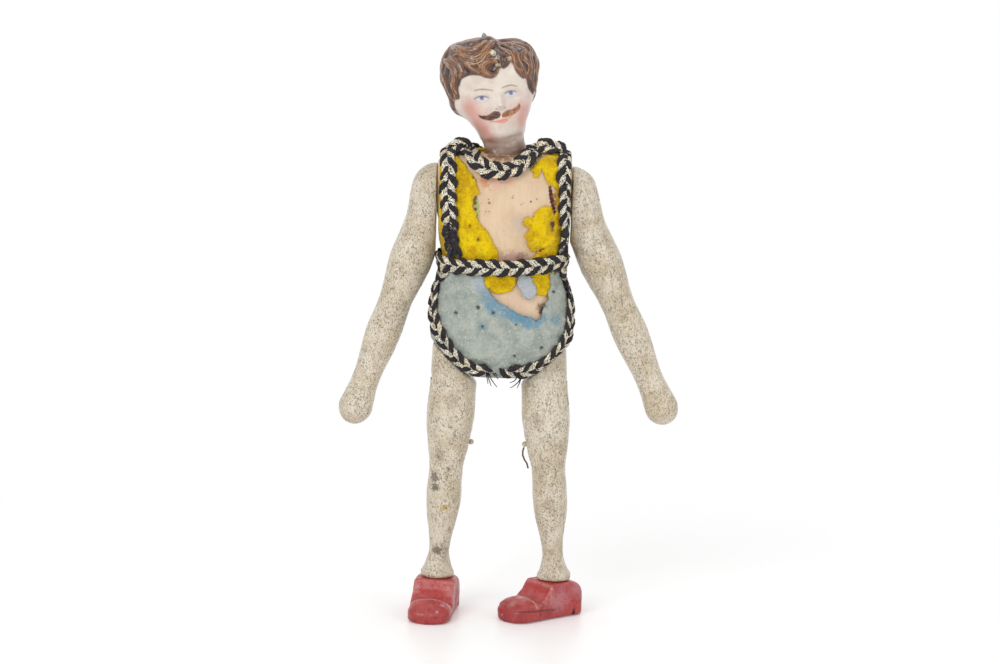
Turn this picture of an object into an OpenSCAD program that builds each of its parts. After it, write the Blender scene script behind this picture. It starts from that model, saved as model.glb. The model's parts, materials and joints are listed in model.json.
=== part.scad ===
/* [Pose] */
// Splay of the right arm from upright, in degrees
right_arm_splay = 19.1; // [16:0.1:23]
// Splay of the left arm from upright, in degrees
left_arm_splay = 24.6; // [20.5:0.1:29.5]
// Splay of the right leg from upright, in degrees
right_leg_splay = 3.2; // [2.5:0.1:4]
// Splay of the left leg from upright, in degrees
left_leg_splay = 4.6; // [3.8:0.1:5.6]
// Turn of the right toe towards the viewer's left, in degrees
right_toe_turn = 7; // [0:1:20]
// Turn of the left toe towards the viewer's left, in degrees
left_toe_turn = 50; // [0:1:60]
// Tilt of the head to the viewer's left, from upright, in degrees
head_tilt = 12.3; // [0:0.1:15]
// Turn of the face to the viewer's right, in degrees
head_turn = 3; // [0:1:30]

/* [Torso] */
// Rise of the shoulder axis above the middle of the hip faces
shoulder_rise = 60.1; // [52:0.1:74]
// Rise of the shoulder top above the shoulder axis
shoulder_top = 12.8; // [11:0.1:15.5]
// Rise of the waist above the middle of the hip faces
waist_rise = 31.8; // [28:0.1:38.5]
// Rise of the widest part of the hips above the middle of the hip faces
hips_rise = 17; // [14:0.1:21]
// Drop of the crotch below the middle of the hip faces
crotch_drop = 3; // [2:0.1:4]
// Width over the two flat shoulder faces
shoulder_w = 46.2; // [40:0.1:55.5]
// Width of the bare waist
waist_w = 37.8; // [32:0.1:45]
// Width of the bare hips
hips_w = 45.2; // [38:0.1:54]
// Depth of the chest, front to back
chest_d = 29; // [24:0.1:35]
// Depth of the waist, front to back
waist_d = 26; // [21:0.1:32]
// Depth of the hips, front to back
hips_d = 28; // [23:0.1:34]
// Squareness of the torso's cross sections, where 2 is an ellipse
torso_square = 2.5; // [2:0.1:4]

/* [Hip faces] */
// Distance between the middles of the two slanted hip faces
hip_spread = 30.8; // [25:0.1:37]
// Slope of the hip faces from level, in degrees
hip_slope = 42; // [35:0.5:50]

/* [Arms] */
// Length from the shoulder axis to the end of the hand
arm_l = 88; // [73:0.5:105.5]
// Radius at the shoulder
shoulder_r = 9; // [7.5:0.1:10.8]
// Radius just below the shoulder
arm_neck_r = 7; // [5.8:0.1:8.4]
// Radius of the upper arm
biceps_r = 7.5; // [6.2:0.1:9]
// Radius at the elbow
elbow_r = 5.8; // [4.8:0.1:7]
// Radius of the forearm
forearm_r = 6.2; // [5.1:0.1:7.5]
// Radius at the wrist
wrist_r = 4.8; // [4:0.1:5.8]
// Radius of the rounded hand
hand_r = 5.95; // [4.9:0.05:7.2]

/* [Legs] */
// Height of the leg from the collar's underside to the middle of the hip face
leg_h = 76.6; // [64:0.1:92]
// Radius at the hip
leg_top_r = 8.2; // [6.8:0.1:9.6]
// Radius of the thigh
thigh_r = 8.4; // [7:0.1:9.8]
// Radius at the knee
knee_r = 5.9; // [4.9:0.1:7.1]
// Radius of the calf
calf_r = 6.15; // [5.1:0.05:7.4]
// Radius above the ankle
ankle_r = 3.6; // [3:0.1:4.4]
// Radius of the collar that stands on the shoe
collar_r = 6; // [5:0.1:7.2]
// Height of the collar
collar_h = 2.4; // [1.8:0.1:3]

/* [Shoes] */
// Length, heel to toe
shoe_l = 32; // [26.7:0.1:38.4]
// Width
shoe_w = 15; // [13:0.1:18]
// Height of the flat top that the leg stands on
shoe_h = 12.3; // [11:0.1:15]
// Distance from the back of the heel to the ankle's axis
ankle_back = 9.8; // [8.2:0.1:11.8]
// Height of the toe cap
toe_h = 7.4; // [6.1:0.1:8.9]
// Height of the lowest point of the instep behind the toe cap
crease_h = 6.2; // [5.2:0.1:7]
// Height of the welt groove above the sole
welt_z = 3.8; // [3.2:0.1:4.5]
// Width of the slot cut up into the heel
heel_slot_w = 0.9; // [0.7:0.1:1.1]
// Depth of the slot cut up into the heel
heel_slot_h = 2.4; // [2:0.1:2.9]

/* [Head] */
// Height of the head from the neck's seat to the top of the hair
head_h = 39.4; // [33:0.1:47.5]
// Width over the hair
hair_w = 34.8; // [29:0.1:42]
// Depth over the hair
hair_d = 33; // [27:0.1:40]
// Width of the jaw
jaw_w = 22; // [18:0.1:26.5]
// Radius of the neck
neck_r = 7; // [5.8:0.1:8.4]
// Wall of the hollow head
head_wall = 2.6; // [2:0.1:3.2]
// Length of the crown pin above the hair
pin_out = 2; // [1:0.1:3]
// Radius of the crown pin
pin_r = 0.8; // [0.6:0.05:1]

/* [Costume] */
// Thickness of the felt
felt_t = 0.9; // [0.7:0.05:1.2]
// Width of the braid
braid_w = 6.2; // [5:0.1:7.5]
// Thickness of the braid
braid_t = 1.2; // [1:0.1:1.5]
// Rise of the vest's hem above the middle of the hip faces
hem_rise = 26.4; // [22:0.1:31.7]

/* [Cords and plugs] */
// Radius of the elastic cords through the neck, shoulders and hips
cord_r = 1.1; // [0.9:0.05:1.3]
// Radius of the knots in the elastic cords
knot_r = 1.9; // [1.6:0.05:2.1]
// Radius of the wooden plugs over the knots in the arms and legs
plug_r = 2.6; // [2.3:0.05:3]
// Radius of the thin cord through each shank and shoe
thread_r = 0.6; // [0.5:0.05:0.7]
// Rise of the thin cord's way out at the knee above the leg's foot
thread_out = 48.6; // [40:0.1:58]

/* [Clearances] */
// Running gap between pieces that turn on each other
run_gap = 0.2; // [0.15:0.05:0.3]
// Gap between layers that are glued together
glue_gap = 0.1; // [0.1:0.01:0.2]

/* [Hidden] */
$fn = 48;

// Sides: 0 is the figure's right, at -X, and 1 its left, at +X
right = 0;
left = 1;
sign_of = [-1, 1];
arm_splay = [right_arm_splay, left_arm_splay];
leg_splay = [right_leg_splay, left_leg_splay];
toe_turn = [right_toe_turn, left_toe_turn];
far = 200;

// Heights above the floor
foot_z = shoe_h + run_gap;
hip_z = foot_z + leg_h;
crotch_z = hip_z - crotch_drop;
hips_z = hip_z + hips_rise;
hem_z = hip_z + hem_rise;
waist_z = hip_z + waist_rise;
shoulder_z = hip_z + shoulder_rise;
torso_top_z = shoulder_z + shoulder_top;
hip_x = hip_spread / 2;
shoulder_x = shoulder_w / 2;
// Depth below the shoulder axis down to which the torso's sides are flat beside the arms
arm_face_h = 21;

// Layers of the costume, as distances out from the wood
vest_in = glue_gap;
vest_out = vest_in + felt_t;
trunks_in = vest_out + glue_gap;
trunks_out = trunks_in + felt_t;
high_braid_in = vest_out + glue_gap;
low_braid_in = trunks_out + glue_gap;

// Curves through key points: each key is a list of numbers, met at whole values of v
function key(keys, i) = keys[max(0, min(len(keys) - 1, i))];
function weights(u) = [
    ((2 - u) * u - 1) * u / 2,
    ((3 * u - 5) * u * u + 2) / 2,
    ((4 - 3 * u) * u + 1) * u / 2,
    (u - 1) * u * u / 2
];
function along(keys, v) =
    let (i = min(len(keys) - 2, floor(v)), w = weights(v - i))
    w[0] * key(keys, i - 1) + w[1] * key(keys, i) + w[2] * key(keys, i + 1)
        + w[3] * key(keys, i + 2);
function steps(keys, per) = [for (n = [0 : (len(keys) - 1) * per]) along(keys, n / per)];

// A closed cross section, wider or squarer than an ellipse
function signed_power(x, p) = sign(x) * pow(abs(x), p);
function section(w, d, square, sides) = [
    for (i = [0 : sides - 1])
        let (t = 360 * i / sides)
        [w * signed_power(cos(t), 2 / square), d * signed_power(sin(t), 2 / square)]
];

// A solid through rings of equally many points, closed by flat ends
module skin(rings) {
    sides = len(rings[0]);
    last = len(rings) - 1;
    polyhedron(
        [for (ring = rings) for (p = ring) p],
        concat(
            [[for (i = [0 : sides - 1]) i]],
            [[for (i = [0 : sides - 1]) last * sides + sides - 1 - i]],
            [
                for (j = [0 : last - 1], i = [0 : sides - 1], half = [0, 1])
                    let (k = (i + 1) % sides, a = j * sides, b = a + sides)
                    half == 0 ? [a + i, b + i, a + k] : [a + k, b + i, b + k]
            ]
        )
    );
}

// A hollow band through rings, whose last ring joins the first
module band(rings) {
    sides = len(rings[0]);
    count = len(rings);
    polyhedron(
        [for (ring = rings) for (p = ring) p],
        [
            for (j = [0 : count - 1], i = [0 : sides - 1], half = [0, 1])
                let (k = (i + 1) % sides, a = j * sides, b = ((j + 1) % count) * sides)
                half == 0 ? [a + i, b + i, a + k] : [a + k, b + i, b + k]
        ]
    );
}

// Places
function shoulder_at(side) = [sign_of[side] * shoulder_x, 0, shoulder_z];
function ankle_at(side) =
    [sign_of[side] * (hip_x + leg_h * tan(leg_splay[side])), 0, foot_z];

// Middle of the figure's bounding box in plan
function hand_x(side) =
    shoulder_x + (arm_l - 1.1 * hand_r) * sin(arm_splay[side]) + hand_r;
toe_reach = shoe_l - ankle_back;
toe_round = 6.2;
heel_round = 4;
front_reach = toe_round + (toe_reach - toe_round) * cos(toe_turn[right])
    + (shoe_w / 2 - toe_round) * sin(toe_turn[right]);
back_reach = max(chest_d / 2 + high_braid_in, hips_d / 2 + low_braid_in) + braid_t;
middle = [(hand_x(left) - hand_x(right)) / 2, (back_reach - front_reach) / 2, 0];
module centred() {
    translate(-middle)
        children();
}

// Torso: height, half width and half depth of each key section
torso_keys = [
    [crotch_z, hip_x - 5, 3.5],
    [crotch_z + 0.9, hip_x - 2, hips_d / 2 - 6],
    [crotch_z + 4, hips_w / 2 - 4, hips_d / 2 - 2.8],
    [(crotch_z + hips_z) / 2, hips_w / 2 - 0.8, hips_d / 2 - 0.6],
    [hips_z, hips_w / 2, hips_d / 2],
    [(hips_z + waist_z) / 2, (hips_w + waist_w) / 4 + 0.2, (hips_d + waist_d) / 4 + 0.1],
    [waist_z, waist_w / 2, waist_d / 2],
    [waist_z + (shoulder_z - waist_z) * 0.45, shoulder_x - 1.6, chest_d / 2 - 0.5],
    [shoulder_z, shoulder_x + 1.6, chest_d / 2],
    [shoulder_z + shoulder_top * 0.62, shoulder_x + 0.8, chest_d / 2 - 1.2],
    [torso_top_z - 1.4, shoulder_x - 1.6, chest_d / 2 - 3],
    [torso_top_z, shoulder_x - 5.5, chest_d / 2 - 6]
];
torso_sides = 40;
torso_last = len(torso_keys) - 1;

// A section at v, moved out by t square to the surface
function torso_ring(v, t) =
    let (
        p = along(torso_keys, v),
        d = along(torso_keys, min(torso_last, v + 0.05)) - along(torso_keys, max(0, v - 0.05)),
        out = atan2(-(d[1] + d[2]) / 2, d[0])
    )
    [
        for (q = section(p[1] + t * cos(out), p[2] + t * cos(out), torso_square, torso_sides))
            [q.x, q.y, p[0] + t * sin(out)]
    ];
function torso_rings(from, to, per, t) = [
    for (n = [0 : round((to - from) * per)]) torso_ring(from + n / per, t)
];
function reversed(list) = [for (i = [len(list) - 1 : -1 : 0]) list[i]];

// A layer that lies on the torso, between two distances from the wood
module layer(from, to, inner, outer) {
    band(concat(torso_rings(from, to, 2, outer), reversed(torso_rings(from, to, 2, inner))));
}

// Everything on the torso's side of the hip faces and between the shoulder faces
module torso_space(gap) {
    difference() {
        translate([-far / 2, -far / 2, 0])
            cube([far, far, far * 2]);
        for (side = [right, left])
            mirror([1 - side, 0, 0]) {
                translate([hip_x, 0, hip_z])
                    rotate([0, -hip_slope, 0])
                        translate([-far, -far, gap - 2 * far])
                            cube(2 * far);
                translate([shoulder_x - gap, -far / 2, shoulder_z - arm_face_h])
                    cube(far);
            }
    }
}

neck_seat_z = torso_top_z + 0.6;
neck_ball_r = neck_r + 0.3;
neck_socket_r = neck_ball_r + run_gap;
neck_bore_r = 3.2;
cord_bore_r = cord_r + 0.4;

module cord_way(r) {
    translate([-far / 2, 0, shoulder_z])
        rotate([0, 90, 0])
            cylinder(h = far, r = r);
}

// Runs square to a hip face from d0 to d1 outside it, or inside where negative
module hip_way(side, r, d0, d1) {
    mirror([1 - side, 0, 0])
        translate([hip_x, 0, hip_z])
            rotate([0, 180 - hip_slope, 0])
                translate([0, 0, d0])
                    cylinder(h = d1 - d0, r = r);
}
cord_apex = hip_x / sin(hip_slope);
apex_z = hip_z + cord_apex * cos(hip_slope);

module torso() {
    color([0.86, 0.75, 0.65])
        centred()
            difference() {
                intersection() {
                    skin(torso_rings(0, torso_last, 3, 0));
                    torso_space(0);
                }
                translate([0, 0, neck_seat_z])
                    sphere(r = neck_socket_r);
                translate([0, 0, shoulder_z - 1.6 * knot_r])
                    cylinder(h = far, r = neck_bore_r);
                cord_way(cord_bore_r);
                hip_way(right, cord_bore_r, -cord_apex, 1);
                hip_way(left, cord_bore_r, -cord_apex, 1);
                translate([0, 0, apex_z])
                    sphere(r = cord_bore_r + 0.1);
            }
}

// Head: height, half width, half depth and forward shift of each key section
hair_x = hair_w / 2;
hair_y = hair_d / 2;
head_keys = [
    [2, neck_r, neck_r, 0],
    [4.6, neck_r + 0.2, neck_r + 0.4, 0.1],
    [6.4, neck_r + 0.9, neck_r + 2.6, 2.1],
    [9.6, jaw_w / 2 - 2, hair_y - 4.6, 1.8],
    [14.2, jaw_w / 2 + 0.8, hair_y - 2.8, 0.6],
    [18.6, (jaw_w + hair_w) / 4 + 1, hair_y - 1.4, 0],
    [24, hair_x - 0.8, hair_y - 0.4, -0.4],
    [head_h - 11, hair_x, hair_y, -0.6],
    [head_h - 5, hair_x - 1.8, hair_y - 1.6, -0.4],
    [head_h - 1.4, hair_x - 5.4, hair_y - 5, -0.2],
    [head_h, hair_x - 11, hair_y - 10, 0]
];
head_sides = 36;
function head_ring(v, t) =
    let (p = along(head_keys, v))
    [for (q = section(p[1] - t, p[2] - t, 2.15, head_sides)) [q.x, q.y - p[3], p[0]]];
function head_rings(from, to, per, t) = [
    for (n = [0 : (to - from) * per]) head_ring(from + n / per, t)
];
module on_neck() {
    centred()
        translate([0, 0, neck_seat_z])
            rotate([0, -head_tilt, 0])
                children();
}
module in_head() {
    on_neck()
        rotate([0, 0, head_turn])
            children();
}
nose_z = 17.5;
eye_r = 1.7;
eye_wire_r = 0.55;
eye_z = head_h - 22;

module head() {
    color([0.91, 0.87, 0.8])
        in_head()
            difference() {
                union() {
                    skin(head_rings(0, len(head_keys) - 1, 2, 0));
                    translate([0, -hair_y + 1.2, nose_z])
                        sphere(r = 1.9);
                    sphere(r = neck_ball_r);
                    cylinder(h = 3, r = neck_r);
                }
                skin(head_rings(3, len(head_keys) - 2, 1, head_wall));
                cylinder(h = eye_z, r = knot_r + 0.4);
                translate([0, 0, -neck_ball_r - 1])
                    cylinder(h = neck_ball_r + 1, r1 = cord_r + 4, r2 = cord_r + 0.6);
                cylinder(h = far, r = pin_r + run_gap);
            }
}

// Crown pin: a shank with a pointed head outside and an eye inside
module crown_pin() {
    color([0.45, 0.45, 0.46])
        on_neck() {
            translate([0, 0, eye_z + eye_r])
                cylinder(h = head_h + pin_out / 2 - eye_z - eye_r, r = pin_r);
            translate([0, 0, head_h + run_gap])
                cylinder(h = pin_out - run_gap, r1 = pin_r * 1.7, r2 = pin_r * 0.4);
            translate([0, 0, eye_z])
                rotate([90, 0, 0])
                    rotate_extrude()
                        translate([eye_r, 0])
                            circle(r = eye_wire_r, $fn = 20);
        }
}

module neck_cord_upper() {
    color([0.2, 0.17, 0.15])
        on_neck() {
            difference() {
                cylinder(h = eye_z - eye_r, r = cord_r);
                sphere(r = cord_r + 0.1);
            }
            translate([0, 0, eye_z - eye_r - knot_r * 0.6])
                sphere(r = knot_r);
        }
}

module neck_cord_middle() {
    color([0.2, 0.17, 0.15])
        centred()
            translate([0, 0, neck_seat_z])
                sphere(r = cord_r);
}

module neck_cord_lower() {
    color([0.2, 0.17, 0.15])
        centred() {
            difference() {
                translate([0, 0, shoulder_z])
                    cylinder(h = neck_seat_z - shoulder_z, r = cord_r);
                translate([0, 0, neck_seat_z])
                    sphere(r = cord_r + 0.1);
            }
            translate([0, 0, shoulder_z])
                sphere(r = knot_r * 1.2);
        }
}

// Turned arm: distance down the arm and radius, from just below the shoulder's ball
arm_keys = [
    [0, shoulder_r],
    [5.5, shoulder_r - 0.7],
    [13.6, arm_neck_r],
    [27, biceps_r],
    [0.468 * arm_l, elbow_r],
    [0.62 * arm_l, forearm_r],
    [arm_l - 2.95 * hand_r, wrist_r],
    [arm_l - hand_r * 1.1, hand_r]
];
arm_flat_x = shoulder_x + run_gap;
knot_seat = 3.6;

// Turned about +Z with its shoulder at the origin and its hand at +Z
module arm_turning() {
    rotate_extrude()
        polygon(concat(
            [[0, -shoulder_r]],
            [for (a = [-80 : 10 : -10]) shoulder_r * [cos(a), sin(a)]],
            [for (k = steps(arm_keys, 4)) [k[1], k[0]]],
            [for (a = [10 : 10 : 80]) [hand_r * cos(a), arm_l + hand_r * (1.1 * sin(a) - 1.1)]],
            [[0, arm_l]]
        ));
}
module arm_outside(side) {
    translate(shoulder_at(side))
        rotate([0, 180 - sign_of[side] * arm_splay[side], 0])
            arm_turning();
}

// Runs along the shoulder axis from d0 to d1 outside the arm's flat face
module arm_way(side, r, d0, d1) {
    translate([sign_of[side] * arm_flat_x, 0, shoulder_z])
        rotate([0, sign_of[side] * 90, 0])
            translate([0, 0, d0])
                cylinder(h = d1 - d0, r = r);
}
module arm(side) {
    color([0.8, 0.75, 0.66])
        centred()
            difference() {
                arm_outside(side);
                mirror([side, 0, 0])
                    translate([-arm_flat_x, -far / 2, 0])
                        cube([far, far, far * 2]);
                arm_way(side, cord_bore_r, -1, far / 2);
                arm_way(side, plug_r + 0.05, knot_seat, far / 2);
            }
}
module arm_plug(side) {
    color([0.72, 0.62, 0.5])
        centred()
            intersection() {
                arm_outside(side);
                arm_way(side, plug_r, knot_seat + 2 * knot_r + 0.3, far / 2);
            }
}
module shoulder_cord() {
    knot_x = arm_flat_x + knot_seat + 0.1 + knot_r;
    color([0.2, 0.17, 0.15])
        centred()
            translate([0, 0, shoulder_z]) {
                translate([-knot_x, 0, 0])
                    rotate([0, 90, 0])
                        cylinder(h = 2 * knot_x, r = cord_r);
                for (s = sign_of)
                    translate([s * knot_x, 0, 0])
                        sphere(r = knot_r);
            }
}
module right_arm() arm(right);
module left_arm() arm(left);
module right_arm_plug() arm_plug(right);
module left_arm_plug() arm_plug(left);

// Turned leg: distance up from the collar's underside and radius
leg_keys = [
    [collar_h, collar_r - 0.5],
    [collar_h + 1.7, ankle_r + 1.1],
    [9, ankle_r],
    [15, ankle_r + 0.6],
    [22, calf_r - 0.7],
    [29, calf_r],
    [39, knee_r],
    [47.5, knee_r + 1.35],
    [57.5, thigh_r],
    [leg_h - 9, leg_top_r - 0.1],
    [leg_h + 3, leg_top_r],
    [leg_h + 16, leg_top_r]
];
module leg_outside(side) {
    translate(ankle_at(side) - middle)
        rotate([0, sign_of[side] * -leg_splay[side], 0])
            rotate_extrude()
                polygon(concat(
                    [[0, -2], [collar_r - 0.3, -2], [collar_r - 0.3, 0.3], [collar_r, 0.8]],
                    [[collar_r, collar_h - 0.8]],
                    [for (k = steps(leg_keys, 4)) [k[1], k[0]]],
                    [[0, leg_h + 16]]
                ));
}
hip_knot_seat = 6;
module leg(side) {
    a = ankle_at(side) - middle;
    color([0.8, 0.75, 0.66])
        difference() {
            leg_outside(side);
            translate([-far / 2, -far / 2, foot_z - far])
                cube(far);
            centred() {
                mirror([1 - side, 0, 0])
                    translate([hip_x, 0, hip_z])
                        rotate([0, -hip_slope, 0])
                            translate([-far, -far, -run_gap])
                                cube(2 * far);
                hip_way(side, cord_bore_r, -1, hip_knot_seat + 1);
                hip_way(side, plug_r + 0.05, hip_knot_seat, far / 2);
            }
            translate(a)
                rotate([0, sign_of[side] * -leg_splay[side], 0]) {
                    translate([0, 0, -3])
                        cylinder(h = thread_out + 3, r = thread_r + 0.3);
                    thread_turn(side)
                        translate([0, 0, -0.5])
                            cylinder(h = far / 4, r = thread_r + 0.3);
                }
        }
}
module leg_plug(side) {
    color([0.72, 0.62, 0.5])
        intersection() {
            leg_outside(side);
            centred()
                hip_way(side, plug_r, hip_knot_seat + 2 * knot_r + 0.3, far / 2);
        }
}
module hip_cord() {
    knot_d = hip_knot_seat + 0.1 + knot_r;
    color([0.2, 0.17, 0.15])
        centred() {
            for (side = [right, left]) {
                hip_way(side, cord_r, -cord_apex, knot_d);
                mirror([1 - side, 0, 0])
                    translate([hip_x, 0, hip_z])
                        rotate([0, 180 - hip_slope, 0])
                            translate([0, 0, knot_d])
                                sphere(r = knot_r);
            }
            translate([0, 0, apex_z])
                sphere(r = cord_r + 0.05);
        }
}
module right_leg() leg(right);
module left_leg() leg(left);
module right_leg_plug() leg_plug(right);
module left_leg_plug() leg_plug(left);

// The thin cord leaves the leg level with the knee, towards the other leg
module thread_turn(side) {
    translate([0, 0, thread_out])
        rotate([0, -sign_of[side] * 90, 0])
            children();
}
thread_knot_r = 0.95;
thread_knot_x = along(leg_keys, 7)[1] + 0.75 * thread_knot_r;
sole_knot_r = 1.5;
sole_plug_r = 2.1;
sole_plug_h = 2.2;
sole_knot_z = sole_plug_h + 0.2 + sole_knot_r;
sole_bore_h = sole_knot_z + sole_knot_r + 0.1;

module ankle_cord(side) {
    a = ankle_at(side) - middle;
    color([0.45, 0.3, 0.18]) {
        translate([a.x, a.y, sole_knot_z]) {
            sphere(r = sole_knot_r);
            cylinder(h = foot_z - sole_knot_z, r = thread_r);
        }
        translate(a) {
            sphere(r = thread_r + 0.03);
            rotate([0, sign_of[side] * -leg_splay[side], 0]) {
                cylinder(h = thread_out, r = thread_r);
                translate([0, 0, thread_out])
                    sphere(r = thread_r + 0.03);
                thread_turn(side) {
                    cylinder(h = thread_knot_x, r = thread_r);
                    translate([0, 0, thread_knot_x])
                        sphere(r = thread_knot_r);
                }
            }
        }
    }
}
module right_ankle_cord() ankle_cord(right);
module left_ankle_cord() ankle_cord(left);

// Loose tail that hangs from the left knee's knot, as points below the knot's middle
tail_points = [[-0.3, 0, 0], [-0.7, -0.1, -1], [-0.8, -0.2, -2.6], [-0.3, -0.1, -4.2],
    [0.5, 0, -5.6], [0.8, 0.1, -7.2]];
tail_r = 0.3;
module knee_thread() {
    color([0.5, 0.33, 0.2])
        translate(ankle_at(left) - middle)
            rotate([0, -leg_splay[left], 0])
                translate([-thread_knot_x, 0, thread_out - thread_knot_r - tail_r - 0.05])
                    for (i = [0 : len(tail_points) - 2])
                        hull() {
                            translate(tail_points[i])
                                sphere(r = tail_r, $fn = 12);
                            translate(tail_points[i + 1])
                                sphere(r = tail_r, $fn = 12);
                        }
}

// Shoe with its ankle's axis at the origin and its toe towards -Y
instep_u = ankle_back + collar_r + 0.4;
crease_u = shoe_l - 11;
shoe_profile = concat(
    [[0.6, 0], [0, 1.2], [0, shoe_h - 5.5]],
    [for (a = [20 : 20 : 80]) [3.4 - 3.4 * cos(a), shoe_h - 5.5 + 5.5 * sin(a)]],
    [[3.6, shoe_h], [instep_u - 0.8, shoe_h], [instep_u, shoe_h - 0.5]],
    [[instep_u * 0.6 + crease_u * 0.4, crease_h + (shoe_h - crease_h) * 0.5], [crease_u, crease_h]],
    [[crease_u + 1.5, toe_h - 0.3], [crease_u + 3.4, toe_h], [crease_u + 6, toe_h - 0.9]],
    [[shoe_l - 1.2, toe_h * 0.62], [shoe_l - 0.2, toe_h * 0.36], [shoe_l, 1.6], [shoe_l - 0.8, 0]]
);
module shoe_plan() {
    half = shoe_w / 2;
    hull() {
        for (s = sign_of) {
            translate([s * (half - heel_round), ankle_back - heel_round])
                circle(r = heel_round, $fn = 24);
            translate([s * (half - toe_round), toe_round - toe_reach])
                circle(r = toe_round, $fn = 32);
        }
    }
}
module shoe_block() {
    rotate([90, 0, -90])
        translate([-ankle_back, 0, -shoe_w])
            linear_extrude(2 * shoe_w)
                polygon(shoe_profile);
}

// Cross section of the shoe, with its long edges eased
shoe_ease = 1.5;
module shoe_tunnel() {
    half = shoe_w / 2;
    rotate([90, 0, 0])
        linear_extrude(2 * shoe_l, center = true)
            polygon([
                for (s = sign_of, a = s < 0 ? [0 : 15 : 90] : [90 : -15 : 0])
                    [s * (half - shoe_ease * (1 - cos(a))), shoe_h - shoe_ease * (1 - sin(a))],
                [half, 1],
                [half - 1, 0],
                [1 - half, 0],
                [-half, 1]
            ]);
}
module at_shoe(side) {
    a = ankle_at(side) - middle;
    translate([a.x, a.y, 0])
        rotate([0, 0, -toe_turn[side]])
            children();
}
welt_cut = 0.35;
module shoe(side) {
    color([0.78, 0.32, 0.34])
        at_shoe(side)
            difference() {
                intersection() {
                    shoe_block();
                    shoe_tunnel();
                    translate([0, 0, -1])
                        linear_extrude(shoe_h + 2)
                            shoe_plan();
                }
                for (s = sign_of)
                    translate([s * shoe_w / 2, 2 - toe_reach / 2, welt_z])
                        cube([2 * welt_cut, toe_reach - 3, 0.4], center = true);
                translate([-shoe_w, ankle_back - 5.8, -1])
                    cube([2 * shoe_w, heel_slot_w, heel_slot_h + 1]);
                translate([0, 0, -1])
                    cylinder(h = far, r = thread_r + 0.3);
                translate([0, 0, -1])
                    cylinder(h = sole_bore_h + 1, r = sole_plug_r + 0.05);
            }
}
module sole_plug(side) {
    color([0.7, 0.5, 0.42])
        at_shoe(side)
            cylinder(h = sole_plug_h, r = sole_plug_r);
}
module right_shoe() shoe(right);
module left_shoe() shoe(left);
module right_sole_plug() sole_plug(right);
module left_sole_plug() sole_plug(left);

// A prism towards -Y over a strip with round corners through front-view points [x, z]
module strip(points, width) {
    translate([0, 0.1, 0])
        rotate([90, 0, 0])
            linear_extrude(far / 4)
                for (i = [0 : len(points) - 2])
                    hull() {
                        translate(points[i])
                            circle(d = width, $fn = 16);
                        translate(points[i + 1])
                            circle(d = width, $fn = 16);
                    }
}
module both_faces() {
    for (s = [0, 1])
        mirror([0, s, 0])
            children();
}

// Torn opening of the vest, as [x, rise above the hip faces, radius] of each bite
vest_tear = [
    [-8, 71, 5.5], [-2, 69, 7], [5, 69, 6.5], [-3, 62, 5.8], [3, 60, 7], [9, 60, 5],
    [-4.5, 56, 7], [3, 53, 7.5], [0, 49, 7.4], [1.2, 44, 5.2], [2.6, 39.5, 4.6],
    [12, 58.5, 3], [15.4, 58, 1.8], [15, 53, 1.6]
];
module bites(list) {
    for (b = list)
        rotate([90, 0, 0])
            linear_extrude(far / 4)
                translate([b[0], hip_z + b[1]])
                    hull() {
                        circle(r = b[2], $fn = 16);
                        translate([0, -b[2] * 0.6])
                            circle(r = b[2] * 0.7, $fn = 16);
                    }
}
collar_cut = neck_r + 4;
module vest(front) {
    color([0.92, 0.8, 0.08])
        centred()
            difference() {
                intersection() {
                    layer(4, torso_last - 0.25, vest_in, vest_out);
                    torso_space(glue_gap);
                    translate([-far / 2, front ? -far : glue_gap / 2, hem_z])
                        cube([far, front ? far - glue_gap / 2 : far, far]);
                }
                cylinder(h = far, r = collar_cut);
                if (front)
                    bites(vest_tear);
                if (!front)
                    translate([0, 0, torso_top_z])
                        for (a = [10 : 20 : 170])
                            hull() {
                                translate([collar_cut * cos(a), collar_cut * sin(a), -4])
                                    cylinder(h = 8, r = 1, $fn = 12);
                                cylinder(h = 8, r = 1, $fn = 12);
                            }
            }
}
module vest_front() vest(true);
module vest_back() vest(false);

// Torn opening of the trunks' upper edge, in the same form
trunks_tear = [
    [-3, 32, 4], [-0.5, 29, 5], [1, 26, 5.2], [5, 24, 5.5], [9, 22.5, 4.8], [8, 20.5, 3.4],
    [11, 27, 4.5], [13, 31, 3.8], [4, 32, 5], [9, 32, 5]
];
module trunks(front) {
    color([0.66, 0.72, 0.71])
        centred()
            difference() {
                intersection() {
                    layer(0.5, 6.5, trunks_in, trunks_out);
                    torso_space(glue_gap + 0.15);
                    translate([-far / 2, front ? -far : glue_gap / 2, 0])
                        cube([far, front ? far - glue_gap / 2 : far, waist_z + 1]);
                }
                if (front)
                    bites(trunks_tear);
                if (!front)
                    for (x = [-16 : 4 : 16])
                        hull() {
                            translate([x, 0, waist_z + 0.6])
                                cylinder(h = 4, r = 2.6, $fn = 8);
                            translate([x, far / 8, waist_z + 0.6])
                                cylinder(h = 4, r = 2.6, $fn = 8);
                        }
            }
}
module trunks_front() trunks(true);
module trunks_back() trunks(false);

// Braids: front-view middle lines as [x, z]
shoulder_braid_x = shoulder_x - braid_w / 2 - 0.2;
armhole_line = [
    for (n = [0 : 8])
        [shoulder_braid_x - (n < 6 ? (6 - n) * 0.12 : 0),
            waist_z + braid_w + 0.4 + n * (torso_top_z - waist_z) / 8]
];
module braid(inner, from, to) {
    color([0.16, 0.13, 0.13])
        centred()
            intersection() {
                layer(from, to, inner, inner + braid_t);
                torso_space(glue_gap + 0.15);
                children();
            }
}
module armhole_braid(side) {
    braid(high_braid_in, 5.5, torso_last)
        mirror([1 - side, 0, 0])
            both_faces()
                strip(armhole_line, braid_w);
}
module right_armhole_braid() armhole_braid(right);
module left_armhole_braid() armhole_braid(left);

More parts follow.
